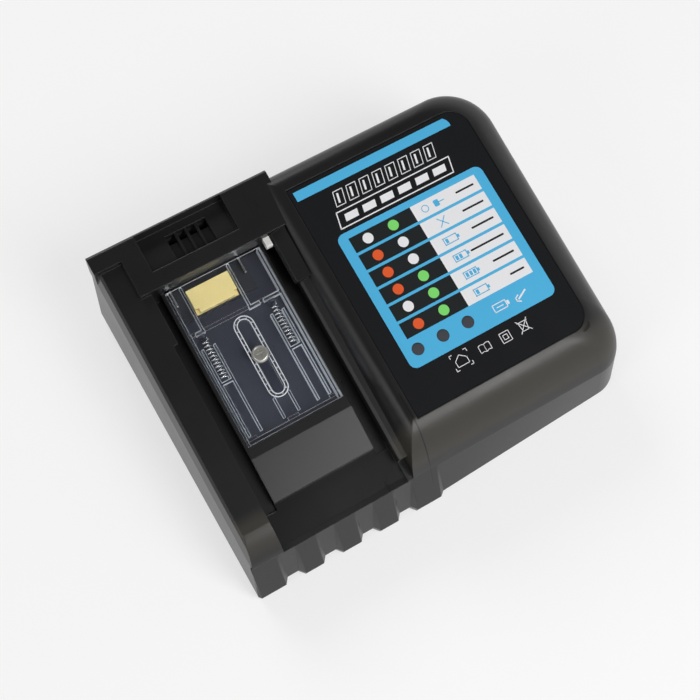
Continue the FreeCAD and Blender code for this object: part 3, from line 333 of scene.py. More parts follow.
def clear_plastic(name, colour, frost=0.0):
    """Water-clear moulding with faint flow lines, its side walls painted milky white as a painted
    highlight; light passes to what lies under it.
    """
    finish = Finish(name)
    flow = finish.noise(60.0, 2.0, (1.0, 0.15, 1.0), 0.8)
    wear = finish.step(finish.noise(420.0, 3.0), 0.66, 0.85)
    facing = finish.add("ShaderNodeTexCoord", out="Normal")
    upward = Vector((0.0, -math.sin(BAY_ANGLE), math.cos(BAY_ANGLE)))
    level = finish.add("ShaderNodeVectorMath", {"operation": "DOT_PRODUCT"}, {0: facing, 1: upward},
                       out="Value")
    # Painted highlight: faces standing across the shutter get a milky white shader
    wall_highlight = 1.0 - finish.step(abs(level), 0.3, 0.85)
    normal = finish.add("ShaderNodeBump", None, {"Strength": 0.03, "Distance": 0.00005, "Height": flow})
    inner = {"Base Color": rgba(colour), "Roughness": 0.01 + wear * 0.05, "Transmission Weight": 1.0,
             "IOR": 1.45, "Normal": normal}
    clear = finish.add("ShaderNodeBsdfPrincipled", None, inner)
    milky = {"Base Color": finish.tint(scaled(colour, 0.9), colour, flow), "Roughness": 0.4 + wear * 0.1,
             "Transmission Weight": 0.3}
    pale = finish.add("ShaderNodeBsdfPrincipled", None, milky)
    # The milky share: the frost, plus the side walls' painted highlight
    frost_and_highlight = frost + wall_highlight * (0.97 - frost)
    mixed = finish.add("ShaderNodeMixShader", None, {0: frost_and_highlight, 1: clear, 2: pale})
    shadow = finish.add("ShaderNodeLightPath", out="Is Shadow Ray")
    open_air = finish.add("ShaderNodeBsdfTransparent", None, {"Color": rgba(colour)})
    lit = finish.add("ShaderNodeMixShader", None, {0: shadow * 0.9, 1: mixed, 2: open_air})
    return finish.ended(lit)


def metal(name, colour, roughness, grain=900.0, stretch=(1.0, 1.0, 1.0)):
    """Bare or plated metal with draw marks and small tarnish."""
    finish = Finish(name)
    marks = finish.noise(grain, 4.0, stretch)
    tarnish = finish.noise(70.0, 4.0)
    tone = finish.tint(scaled(colour, 0.82), colour, tarnish)
    rough = roughness + (marks - 0.5) * 0.16 + tarnish * 0.06
    values = {"Base Color": tone, "Roughness": rough, "Metallic": 1.0}
    return finish.surface(values, marks, 0.1, 0.00003)


def rubber(name, colour):
    """Matt rubber with a fine bloom."""
    finish = Finish(name)
    bloom = finish.noise(140.0, 5.0)
    fine = finish.noise(2600.0, 2.0)
    tone = finish.tint(colour, scaled(colour, 1.9), finish.step(bloom, 0.45, 0.75) * 0.5)
    values = {"Base Color": tone, "Roughness": 0.72 + bloom * 0.16, "Specular IOR Level": 0.3}
    return finish.surface(values, fine, 0.25, 0.00006)


def laminate(name, colour):
    """Green board with copper tracks under its solder mask."""
    finish = Finish(name)
    tracks = finish.add("ShaderNodeTexBrick", {"offset": 0.5},
                        {"Vector": finish.place, "Scale": 60.0, "Mortar Size": 0.09}, out=1)
    weave = finish.noise(1800.0, 2.0)
    tone = finish.tint(colour, scaled(colour, 1.9), tracks * 0.6)
    tone = finish.tint(tone, scaled(colour, 0.7), weave * 0.3)
    values = {"Base Color": tone, "Roughness": 0.34 + weave * 0.12}
    return finish.surface(values, tracks + weave * 0.2, 0.2, 0.00004)


def ferrite(name, colour):
    """Sintered ferrite: grey-black, fine pitted, its tone varying at random and painted darker in the
    pits as painted shade.
    """
    finish = Finish(name)
    pits_and_shade = finish.noise(1500.0, 5.0)
    # Partly random tone, partly painted shade: the tone is darker where the pits lie low
    tone = finish.tint(scaled(colour, 0.6), scaled(colour, 1.2), finish.step(pits_and_shade, 0.35, 0.65))
    return finish.surface({"Base Color": tone, "Roughness": 0.55 + pits_and_shade * 0.2}, pits_and_shade, 0.4, 0.00008)


def wound(name, colour):
    """Enamelled wire lying turn beside turn, with painted shade in the grooves between turns."""
    finish = Finish(name)
    turns = finish.wave(0.1 / (WINDING_PITCH * MM), 0.3)
    drift = finish.noise(120.0, 3.0)
    # Painted shade: each turn darkens to half its colour in the grooves between turns
    tone = finish.tint(scaled(colour, 0.5), colour, turns)
    tone = finish.tint(tone, scaled(colour, 1.3), drift * 0.3)
    values = {"Base Color": tone, "Roughness": 0.28 + drift * 0.12, "Metallic": 0.6}
    return finish.surface(values, turns, 0.6, 0.0003)


def sleeve(name, colour, band_colour):
    """Printed shrink sleeve with a lighter band between two heights."""
    finish = Finish(name)
    z = finish.xyz()[2]
    low, high = [edge * MM for edge in SLEEVE_BAND]
    band = (z > low) * (z < high)
    wrinkle = finish.noise(240.0, 3.0, (1.0, 1.0, 0.2))
    tone = finish.tint(colour, band_colour, band)
    values = {"Base Color": tone, "Roughness": 0.26 + wrinkle * 0.12}
    return finish.surface(values, wrinkle, 0.15, 0.00006)


def glass_tube(name):
    """Fuse: a glass tube between two plated caps."""
    finish = Finish(name)
    x = finish.xyz()[0]
    left, right = [edge * MM for edge in FUSE_CAPS]
    cap = (x < left) + (x > right)
    marks = finish.noise(900.0, 3.0)
    tone = finish.tint((0.62, 0.66, 0.62), (0.75, 0.75, 0.72), cap)
    values = {"Base Color": tone, "Roughness": 0.14 + marks * 0.12, "Metallic": cap}
    return finish.surface(values, marks, 0.08, 0.00003)


def dress(node, material):
    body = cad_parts[node]
    body.data.materials.clear()
    body.data.materials.append(material)


def soft_edges(obj, angle):
    for polygon in obj.data.polygons:
        polygon.use_smooth = True
    obj.data.set_sharp_from_angle(angle=math.radians(angle))


def piece(name, mesh, material, body):
    made = bpy.data.objects.new(name, mesh)
    bpy.context.scene.collection.objects.link(made)
    mesh.materials.clear()
    mesh.materials.append(material)
    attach(made, body)
    return made


def settled(name, host, material, body):
    """Turns a host's Geometry Nodes result into a plain mesh piece."""
    evaluated = host.evaluated_get(bpy.context.evaluated_depsgraph_get())
    mesh = bpy.data.meshes.new_from_object(evaluated)
    bpy.data.objects.remove(host)
    return piece(name, mesh, material, body)


def rounded(x0, x1, y0, y1, radius=0.0, steps=8):
    """A flat rectangle of the print in millimetres, with round corners where it has a radius."""
    if radius <= 0.0:
        return [(x0, y0), (x1, y0), (x1, y1), (x0, y1)]
    points = []
    for cx, cy, start in ((x1 - radius, y0 + radius, -90), (x1 - radius, y1 - radius, 0),
                          (x0 + radius, y1 - radius, 90), (x0 + radius, y0 + radius, 180)):
        for index in range(steps + 1):
            angle = math.radians(start + 90 * index / steps)
            points.append((cx + radius * math.cos(angle), cy + radius * math.sin(angle)))
    return points


def disc(x, y, radius, steps=40):
    turns = [2 * math.pi * index / steps for index in range(steps)]
    return [(x + radius * math.cos(turn), y + radius * math.sin(turn)) for turn in turns]


def stroke(points, width, closed=False):
    """Each run of a line as one bar of the given width."""
    runs = list(zip(points, points[1:] + points[:1])) if closed else list(zip(points, points[1:]))
    bars = []
    for (ax, ay), (bx, by) in runs:
        length = math.hypot(bx - ax, by - ay)
        tx, ty = (bx - ax) / length * width / 2, (by - ay) / length * width / 2
        bars.append([[(ax - tx - ty, ay - ty + tx), (ax - tx + ty, ay - ty - tx),
                      (bx + tx + ty, by + ty - tx), (bx + tx - ty, by + ty + tx)]])
    return bars


def placed(points, x, y, width, closed=False):
    return stroke([(x + a, y + b) for a, b in points], width, closed)


def ring(x, y, radius, width):
    return [disc(x, y, radius, 32), disc(x, y, radius - width, 32)[::-1]]


def printed(name, shapes, low, high, material):
    """A thin closed film on the label for each shape, which is its outline and its holes."""
    mesh = bpy.data.meshes.new(name)
    film = bmesh.new()
    for loops in shapes:
        top_edges = []
        below = {}
        for loop in loops:
            tops = [film.verts.new(on_label(x, y, high)) for x, y in loop]
            bottoms = [film.verts.new(on_label(x, y, low)) for x, y in loop]
            below.update(zip(tops, bottoms))
            for index, first in enumerate(tops):
                second = tops[(index + 1) % len(tops)]
                top_edges.append(film.edges.new((first, second)))
                film.faces.new((first, bottoms[index], bottoms[(index + 1) % len(tops)], second))
        filled = bmesh.ops.triangle_fill(film, use_beauty=True, use_dissolve=False, edges=top_edges)
        for face in [item for item in filled["geom"] if isinstance(item, bmesh.types.BMFace)]:
            film.faces.new([below[vertex] for vertex in reversed(face.verts)])
    bmesh.ops.recalc_face_normals(film, faces=film.faces)
    film.to_mesh(mesh)
    film.free()
    return piece(name, mesh, material, "housing")


class CHARGER_PG_case(bpy.types.PropertyGroup):
    case_colour: FloatVectorProperty(
        name="Case colour", description="Colour of the moulded case",
        subtype="COLOR", size=3, min=0.0, max=1.0, default=(0.0085, 0.0085, 0.0092))
    # Painted sheen of the front roll, mixed into the case's colour
    roll_sheen_colour: FloatVectorProperty(
        name="Front roll painted sheen", description="Painted sheen on the grained front edge",
        subtype="COLOR", size=3, min=0.0, max=1.0, default=(0.05, 0.045, 0.034))
    # Painted light on the tray, for its look through the clear shutter
    tray_painted_light: FloatVectorProperty(
        name="Tray painted light", description="Painted light on the tray under the clear shutter",
        subtype="COLOR", size=3, min=0.0, max=1.0, default=(0.030, 0.031, 0.046))
    edge: FloatProperty(
        name="Edge rounding", description="Radius of light on the case's edges",
        default=0.6 * MM, unit="LENGTH", precision=5)
    roughness: FloatProperty(
        name="Roughness", description="How matt the case is", default=0.32, min=0.05, max=1.0)
    grain: FloatProperty(
        name="Grain", description="Grains per metre of the mould texture", default=2100.0, min=100.0)
    grain_strength: FloatProperty(
        name="Grain strength", description="Depth of the mould texture", default=0.16, min=0.0, max=1.0)


class CHARGER_PG_bay(bpy.types.PropertyGroup):
    clear_colour: FloatVectorProperty(
        name="Shutter colour", description="Tint of the clear shutter",
        subtype="COLOR", size=3, min=0.0, max=1.0, default=(0.93, 0.95, 0.97))
    yellow: FloatVectorProperty(
        name="Connector colour", description="Colour of the signal connector",
        subtype="COLOR", size=3, min=0.0, max=1.0, default=(0.98, 0.74, 0.31))
    wire: FloatProperty(
        name="Spring wire", description="Wire diameter of the return springs",
        default=0.5 * MM, unit="LENGTH", precision=5)
    mean_radius: FloatProperty(
        name="Spring radius", description="Mean radius of the return springs",
        default=1.4 * MM, unit="LENGTH", precision=5)
    turns: IntProperty(
        name="Spring turns", description="Turns of each return spring", default=11, min=3, max=24)
    length: FloatProperty(
        name="Spring length", description="Length of each return spring",
        default=SPRING_LENGTH * MM, unit="LENGTH", precision=5)
    bead: FloatProperty(
        name="Rim bead", description="Radius of the two beads round the guide slot",
        default=0.2 * MM, unit="LENGTH", precision=5)
    rim_ribs: IntProperty(
        name="Rim ribs", description="Small ribs round the guide slot", default=26, min=4, max=80)


class CHARGER_PG_print(bpy.types.PropertyGroup):
    blue: FloatVectorProperty(
        name="Field colour", description="Colour of the printed panel",
        subtype="COLOR", size=3, min=0.0, max=1.0, default=(0.085, 0.47, 0.78))
    orange: FloatVectorProperty(
        name="First dot colour", description="Colour of the charging dots",
        subtype="COLOR", size=3, min=0.0, max=1.0, default=(0.80, 0.115, 0.03))
    green: FloatVectorProperty(
        name="Second dot colour", description="Colour of the ready dots",
        subtype="COLOR", size=3, min=0.0, max=1.0, default=(0.22, 0.74, 0.17))
    white: FloatVectorProperty(
        name="White", description="Colour of the white print",
        subtype="COLOR", size=3, min=0.0, max=1.0, default=(0.86, 0.86, 0.88))
    black: FloatVectorProperty(
        name="Black", description="Colour of the sheet",
        subtype="COLOR", size=3, min=0.0, max=1.0, default=(0.010, 0.0105, 0.012))


class CHARGER_PG_stage(bpy.types.PropertyGroup):
    floor_colour: FloatVectorProperty(
        name="Floor colour", description="Colour of the studio floor",
        subtype="COLOR", size=3, min=0.0, max=1.0, default=(0.93, 0.93, 0.93))
    floor_lift: FloatProperty(
        name="Floor lift", description="How far the floor is seen as plain white",
        default=0.6, min=0.0, max=1.0)
    key_power: FloatProperty(
        name="Key lamp", description="Power of the large soft lamp", default=12.0, unit="POWER")
    fill_power: FloatProperty(
        name="Fill lamp", description="Power of the lamp on the left", default=3.5, unit="POWER")
    sheen_power: FloatProperty(
        name="Sheen lamp", description="Power of the lamp that the front edges mirror",
        default=7.0, unit="POWER")
    sky_level: FloatProperty(
        name="Sky", description="Level at which the sky lights the object", default=0.5, min=0.0)
    ceiling: FloatProperty(
        name="Ceiling", description="Level straight above, next to 1 at the horizon",
        default=0.12, min=0.0, max=1.0)
    lens: FloatProperty(
        name="Lens", description="Focal length in millimetres", default=67.095)


class CHARGER_OT_case(bpy.types.Operator):
    """Finish the two shells, the feet and the cord inlet"""
    bl_idname = "charger.case"
    bl_label = "Case"

    def execute(self, context):
        settings = context.scene.charger_case
        shell = case_plastic(settings)
        for node in ("upper_case", "lower_case"):
            dress(node, shell)
        dress("rubber_feet", rubber("foot_rubber", (0.012, 0.012, 0.012)))
        dress("cord_gland", rubber("gland_rubber", (0.015, 0.015, 0.016)))
        dress("case_screws", metal("case_screw_zinc", (0.6, 0.6, 0.57), 0.34))
        return {"FINISHED"}


class CHARGER_OT_bay(bpy.types.Operator):
    """Finish the clear shutter, the terminals and the sensing plunger"""
    bl_idname = "charger.bay"
    bl_label = "Bay"

    def execute(self, context):
        settings = context.scene.charger_bay
        dress("terminal_shutter", clear_plastic("clear_shutter", settings.clear_colour))
        dress("signal_connector", moulded("signal_yellow", settings.yellow, 0.3, 1500.0, 0.06))
        blade = metal("contact_plate", (0.82, 0.81, 0.78), 0.16, 700.0, (1.0, 0.1, 1.0))
        for node in ("positive_blade", "negative_blade"):
            dress(node, blade)
        dress("terminal_base", moulded("base_black", (0.016, 0.017, 0.022), 0.42))
        dress("sense_plunger", moulded("plunger_white", (0.82, 0.82, 0.79), 0.32, 1600.0, 0.05))
        dress("sense_switch", moulded("switch_black", (0.02, 0.02, 0.022), 0.45))
        dress("shutter_guide_screw", metal("guide_zinc", (0.66, 0.65, 0.6), 0.28))
        dress("shutter_guide_washer", metal("washer_zinc", (0.62, 0.62, 0.58), 0.33))
        return {"FINISHED"}


class CHARGER_OT_springs(bpy.types.Operator):
    """Wind the two return springs of the shutter"""
    bl_idname = "charger.springs"
    bl_label = "Return springs"

    def execute(self, context):
        settings = context.scene.charger_bay
        steel = metal("spring_steel", (0.78, 0.78, 0.77), 0.2, 1600.0)
        for side, u in SPRING_PLACES:
            host = bpy.data.objects.new("coil_host", bpy.data.meshes.new("coil_host"))
            context.scene.collection.objects.link(host)
            maker = host.modifiers.new("Coil", "NODES")
            maker.node_group = coil_tree("coil_" + side)
            feed(maker, {"Turns": float(settings.turns), "Wire": settings.wire / 2,
                         "Radius": settings.mean_radius, "Length": settings.length,
                         "Place": on_bay(u, SPRING_REAR - SPRING_LENGTH, SPRING_DEPTH),
                         "Turn": (BAY_ANGLE - math.pi / 2, 0.0, 0.0), "Steel": steel})
            spring = settled("return_spring_" + side, host, steel, "housing")
            soft_edges(spring, 60.0)
            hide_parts("shutter_spring_" + side)
            tuple(on_bay(u, SPRING_REAR, SPRING_DEPTH))
            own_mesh(spring)
        return {"FINISHED"}


class CHARGER_OT_slot_rim(bpy.types.Operator):
    """Set the small ribs and the two beads round the shutter's guide slot"""
    bl_idname = "charger.slot_rim"
    bl_label = "Slot rim"

    def execute(self, context):
        settings = context.scene.charger_bay
        clear = clear_plastic("rim_clear", settings.clear_colour, 0.1)
        frosted = clear_plastic("rim_frosted", settings.clear_colour, 0.75)
        ribs = self.path(context, "rim_path", RIB_PATH)
        maker = ribs.modifiers.new("Ribs", "NODES")
        maker.node_group = rib_tree("rim_ribs")
        size = tuple(side * MM for side in RIB_SIZE)
        feed(maker, {"Count": settings.rim_ribs, "Size": size, "Finish": clear})
        settled("slot_rim_ribs", ribs, clear, "shutter")
        for name, radius in BEAD_PATHS:
            line = self.path(context, "bead_path", radius)
            maker = line.modifiers.new("Bead", "NODES")
            maker.node_group = bead_tree("bead_" + name)
            feed(maker, {"Radius": settings.bead, "Finish": frosted})
            settled("slot_rim_" + name, line, frosted, "shutter")
        return {"FINISHED"}

    def path(self, context, name, radius):
        """A closed racetrack on the shutter's top, round the guide slot."""
        points = []
        for centre, start in SLOT_ENDS:
            for index in range(13):
                angle = math.radians(start + 15 * index)
                u, v = SLOT_X + radius * math.cos(angle), centre + radius * math.sin(angle)
                points.append(on_bay(u, v, SLOT_LIFT))
        mesh = bpy.data.meshes.new(name)
        count = len(points)
        mesh.from_pydata(points, [(i, (i + 1) % count) for i in range(count)], [])
        host = bpy.data.objects.new(name, mesh)
        context.scene.collection.objects.link(host)
        return host


def new_tree(name, inputs):
    """A Geometry Nodes tree, the method that makes its nodes, and its inputs' sockets."""
    tree = bpy.data.node_groups.new(name, "GeometryNodeTree")
    tree.interface.new_socket(name="Geometry", in_out="INPUT", socket_type="NodeSocketGeometry")
    tree.interface.new_socket(name="Geometry", in_out="OUTPUT", socket_type="NodeSocketGeometry")
    for label, kind in inputs:
        tree.interface.new_socket(name=label, in_out="INPUT", socket_type="NodeSocket" + kind)

    def add(kind, settings=None, links=None):
        node = tree.nodes.new(kind)
        for key, value in (settings or {}).items():
            setattr(node, key, value)
        for key, value in (links or {}).items():
            if isinstance(value, bpy.types.NodeSocket):
                tree.links.new(value, node.inputs[key])
            else:
                node.inputs[key].default_value = value
        return node

    return tree, add, add("NodeGroupInput").outputs


def closed_tree(tree, add, geometry, material):
    """Ends a tree: real geometry, its finish, and the way out."""
    real = add("GeometryNodeRealizeInstances", None, {0: geometry})
    finished = add("GeometryNodeSetMaterial", None, {"Geometry": real.outputs[0], "Material": material})
    add("NodeGroupOutput", None, {0: finished.outputs[0]})
    return tree


def feed(modifier, values):
    sockets = {item.name: item.identifier for item in modifier.node_group.interface.items_tree
               if item.in_out == "INPUT"}
    for label, value in values.items():
        modifier[sockets[label]] = value


def coil_tree(name):
    """A round-wire coil with a straight leg at each end, along its own Z."""
    inputs = [("Turns", "Float"), ("Wire", "Float"), ("Radius", "Float"), ("Length", "Float"),
              ("Place", "Vector"), ("Turn", "Vector"), ("Steel", "Material")]
    tree, add, entry = new_tree(name, inputs)
    radius, length = entry["Radius"], entry["Length"]
    leg = add("ShaderNodeMath", {"operation": "MULTIPLY"}, {0: entry["Wire"], 1: 4.0}).outputs[0]
    rise = add("ShaderNodeMath", {"operation": "MULTIPLY_ADD"}, {0: leg, 1: -2.0, 2: length}).outputs[0]
    top = add("ShaderNodeMath", {"operation": "SUBTRACT"}, {0: length, 1: leg}).outputs[0]
    spiral = add("GeometryNodeCurveSpiral", None,
                 {"Resolution": 30, "Rotations": entry["Turns"], "Start Radius": radius,
                  "End Radius": radius, "Height": rise})
    raised = add("ShaderNodeCombineXYZ", None, {"Z": leg})
    coil = add("GeometryNodeTransform", None,
               {"Geometry": spiral.outputs[0], "Translation": raised.outputs[0]})

    def straight(start, end):
        ends = [add("ShaderNodeCombineXYZ", None, {"X": radius, "Z": height}).outputs[0]
                for height in (start, end)]
        return add("GeometryNodeCurvePrimitiveLine", None, {"Start": ends[0], "End": ends[1]})

    low_leg, high_leg = straight(0.0, leg), straight(top, length)
    joined = add("GeometryNodeJoinGeometry")
    for part in (high_leg, coil, low_leg):
        tree.links.new(part.outputs[0], joined.inputs[0])
    round_wire = add("GeometryNodeCurvePrimitiveCircle", None,
                     {"Resolution": 14, "Radius": entry["Wire"]})
    tube = add("GeometryNodeCurveToMesh", None,
               {"Curve": joined.outputs[0], "Profile Curve": round_wire.outputs[0], "Fill Caps": True})
    turned = add("GeometryNodeTransform", None,
                 {"Geometry": tube.outputs[0], "Rotation": entry["Turn"], "Translation": entry["Place"]})
    return closed_tree(tree, add, turned.outputs[0], entry["Steel"])


def rib_tree(name):
    """Small blocks set across a closed path at an even pitch."""
    tree, add, entry = new_tree(name, [("Count", "Int"), ("Size", "Vector"), ("Finish", "Material")])
    path = add("GeometryNodeMeshToCurve", None, {"Mesh": entry["Geometry"]})
    places = add("GeometryNodeCurveToPoints", {"mode": "COUNT"},
                 {"Curve": path.outputs[0], "Count": entry["Count"]})
    block = add("GeometryNodeMeshCube", None, {"Size": entry["Size"]})
    ribs = add("GeometryNodeInstanceOnPoints", None,
               {"Points": places.outputs["Points"], "Instance": block.outputs[0],
                "Rotation": places.outputs["Rotation"]})
    return closed_tree(tree, add, ribs.outputs[0], entry["Finish"])


def bead_tree(name):
    """A thin round bead along a closed path."""
    tree, add, entry = new_tree(name, [("Radius", "Float"), ("Finish", "Material")])
    path = add("GeometryNodeMeshToCurve", None, {"Mesh": entry["Geometry"]})
    section = add("GeometryNodeCurvePrimitiveCircle", None, {"Resolution": 8, "Radius": entry["Radius"]})
    bead = add("GeometryNodeCurveToMesh", None,
               {"Curve": path.outputs[0], "Profile Curve": section.outputs[0]})
    return closed_tree(tree, add, bead.outputs[0], entry["Finish"])


def row_span(row):
    """Front and rear edge of one row of the panel."""
    rear = ROW_TOP - ROW_PITCH * row
    return rear - ROW_PITCH + ROW_GAP, rear


def row_middle(row):
    return sum(row_span(row)) / 2


class CHARGER_OT_label(bpy.types.Operator):
    """Print the indicator panel on the label and finish the lamps"""
    bl_idname = "charger.label"
    bl_label = "Label"

    def execute(self, context):
        settings = context.scene.charger_print
        dress("label_plate", gloss_label("label_black", settings.black))
        dress("indicator_lenses", gloss_label("lens_smoke", (0.062, 0.066, 0.078)))
        dress("indicator_leds", moulded("led_clear", (0.8, 0.82, 0.8), 0.15, 900.0, 0.03))
        dress("led_board", laminate("led_board_green", (0.015, 0.09, 0.035)))
        blue = ink("print_blue", settings.blue)
        white = ink("print_white", settings.white, 0.02)
        dark = ink("print_dark", (0.014, 0.0165, 0.018), 0.1)
        lamps = [disc(x, y, LAMP_RADIUS)[::-1] for x, y in LAMP_PLACES]
        corner = [(STRIP_RIGHT + 3.24 * math.sin(math.radians(turn)) - turn / 18.0,
                   STRIP_FRONT + (STRIP_REAR - STRIP_FRONT) * turn / 90.0) for turn in (30, 60, 90)]
        strip = [(STRIP_LEFT, STRIP_REAR), (STRIP_LEFT, STRIP_FRONT), (STRIP_RIGHT, STRIP_FRONT)] + corner
        printed("print_fields", [[rounded(*FIELD)] + lamps, [strip]], SHEET, FIRST_FILM, blue)
        spans = [row_span(row) for row in range(ROWS)]
        boxes = [[rounded(ROW_LEFT, ROW_MIDDLE, *span)] for span in spans]
        panes = [[rounded(ROW_MIDDLE, ROW_RIGHT, *span)] for span in spans]
        printed("print_rows", boxes, FIRST_FILM, SECOND_FILM, dark)
        printed("print_panes", panes + self.pictograms() + self.title_bars(), SHEET, SECOND_FILM, white)
        printed("print_captions", self.captions(), SECOND_FILM, THIRD_FILM, dark)
        printed("print_symbols", self.row_symbols(), SECOND_FILM, THIRD_FILM, blue)
        inks = {"white": white, "green": ink("print_green", settings.green, 0.08),
                "orange": ink("print_orange", settings.orange, 0.08)}
        for colour, shade in inks.items():
            dots = [[disc(x, row_middle(row), DOT_RADIUS)] for row, pair in enumerate(DOT_COLOURS)
                    for x, dot in zip(DOT_PLACES, pair) if dot == colour]
            printed("dots_" + colour, dots, SECOND_FILM, THIRD_FILM, shade)
        return {"FINISHED"}

    def pictograms(self):
        """White line signs before the field: a framed house, a book, two squares, a crossed bin."""
        house = [(-2.7, -2.3), (-2.7, 0.3), (0.0, 2.4), (2.7, 0.3), (2.7, -2.3)]
        marks = placed(house, *HOUSE, FINE_LINE, True)
        for x, y in ((-1, 1), (1, 1), (-1, -1), (1, -1)):
            corner = [(x * 4.0, y * 2.4), (x * 4.0, y * 3.6), (x * 2.8, y * 3.6)]
            marks += placed(corner, *HOUSE, FINE_LINE)
        for side in (-1, 1):
            leaf = [(0.0, -1.8), (0.0, 1.5), (side * 1.3, 1.9), (side * 2.6, 1.6), (side * 2.6, -1.6),
                    (side * 1.3, -1.3)]
            marks += placed(leaf, *BOOK, FINE_LINE, True)
        for half in (2.2, 1.0):
            square = [(-half, -half), (half, -half), (half, half), (-half, half)]
            marks += placed(square, *SQUARES, FINE_LINE, True)
        marks += placed([(-1.9, 2.0), (-1.3, -2.0), (1.3, -2.0), (1.9, 2.0)], *BIN, FINE_LINE)
        marks += placed([(-2.3, 2.0), (2.3, 2.0)], *BIN, FINE_LINE)
        for side in (-1, 1):
            marks += placed([(-2.6 * side, -2.7), (2.6 * side, 2.9)], *BIN, FINE_LINE)
        return marks

    def title_bars(self):
        """The plain slanted frames and bars that stand in the title's place."""
        marks = []
        slant = 1.6
        for index in range(8):
            x = 9.6 + 6.4 * index
            edge = [(x, 45.8), (x + 4.4, 45.8), (x + 4.4 + slant, 52.4), (x + slant, 52.4)]
            marks += stroke(edge, 0.34, True)
            marks += stroke([(x + 2.2, 47.4), (x + 2.2 + slant * 0.5, 50.8)], 0.9)
        marks += stroke([(6.4, 36.4), (62.0, 36.4), (63.6, 43.6), (8.0, 43.6)], 0.5, True)
        for index in range(6):
            x = 10.0 + 8.7 * index
            marks.append([[(x, 38.4), (x + 6.2, 38.4), (x + 6.9, 41.6), (x + 0.7, 41.6)]])
        return marks

    def captions(self):
        """A plain dark bar in place of each row's words."""
        rows = [(row_middle(row), CAPTION_RIGHT - width) for row, width in enumerate(CAPTION_WIDTHS)]
        return [[rounded(left, CAPTION_RIGHT, y - 0.42, y + 0.42, 0.3, 3)] for y, left in rows]

    def row_symbols(self):
        """One small sign in each pane: a lamp and its plug, a cross, and four batteries."""
        y = row_middle(0)
        marks = [ring(42.6, y, 1.7, 0.35), [rounded(47.0, 49.4, y - 1.5, y + 1.5, 0.5, 3)]]
        marks += stroke([(49.4, y), (51.8, y)], SYMBOL_LINE)
        y = row_middle(1)
        for side in (-1, 1):
            marks += stroke([(46.4 + 1.8 * side, y - 2.0), (46.4 - 1.8 * side, y + 2.0)], SYMBOL_LINE)
        for row, cells in ((2, 1), (3, 2), (4, 3), (5, 1)):
            y = row_middle(row)
            marks += stroke([(42.2, y - 1.5), (42.2, y + 1.5), (48.4, y + 1.5), (48.4, y - 1.5)],
                            SYMBOL_LINE, True)
            marks.append([rounded(48.6, 49.5, y - 0.7, y + 0.7)])
            for left in [42.9 + 1.8 * cell for cell in range(cells)]:
                marks.append([rounded(left, left + 1.3, y - 1.0, y + 1.0)])
        return marks


class CHARGER_OT_panel_symbols(bpy.types.Operator):
    """Print the white battery and spanner signs on the coloured field"""
    bl_idname = "charger.panel_symbols"
    bl_label = "Field symbols"

    def execute(self, context):
        white = ink("print_pale", context.scene.charger_print.white, 0.02)
        signs = stroke([(45.6, -25.6), (45.6, -22.4), (51.8, -22.4), (51.8, -25.6)], SYMBOL_LINE, True)
        signs.append([rounded(52.1, 53.2, -24.9, -23.1)])
        signs += stroke([(47.2, -24.0), (50.2, -24.0)], SYMBOL_LINE)
        signs += stroke([(57.6, -25.0), (61.8, -22.8)], 0.7)
        signs += stroke([(57.9, -23.4), (56.4, -24.2), (56.4, -25.6), (57.9, -26.4)], 0.5)
        printed("print_field_signs", signs, FIRST_FILM, SECOND_FILM, white)
        return {"FINISHED"}


class CHARGER_OT_inside(bpy.types.Operator):
    """Finish the fan, the duct and the board with its parts"""
    bl_idname = "charger.inside"
    bl_label = "Inside"

    def execute(self, context):
        dress("fan_frame", moulded("fan_black", (0.016, 0.016, 0.017), 0.36))
        dress("fan_rotor", moulded("rotor_black", (0.02, 0.02, 0.021), 0.3))
        dress("air_duct", moulded("duct_grey", (0.045, 0.045, 0.047), 0.5))
        dress("fan_shaft", metal("shaft_steel", (0.7, 0.7, 0.69), 0.15))
        screw = metal("screw_zinc", (0.64, 0.63, 0.58), 0.3)
        for node in ("fan_screws", "board_screws"):
            dress(node, screw)
        dress("main_board", laminate("board_green", (0.012, 0.075, 0.03)))
        dress("transformer_core", ferrite("core_ferrite", (0.05, 0.05, 0.053)))
        dress("transformer_winding", wound("winding_copper", (0.75, 0.33, 0.12)))
        dress("bulk_capacitor", sleeve("can_sleeve", (0.02, 0.03, 0.1), (0.5, 0.5, 0.52)))
        dress("film_capacitors", moulded("film_yellow", (0.66, 0.42, 0.06), 0.3, 1300.0, 0.06))
        dress("heat_sink", metal("sink_aluminium", (0.78, 0.79, 0.8), 0.36, 500.0, (1.0, 1.0, 0.05)))
        dress("fuse_link", glass_tube("fuse_glass"))
        dress("buzzer", moulded("buzzer_black", (0.014, 0.014, 0.015), 0.4))
        return {"FINISHED"}


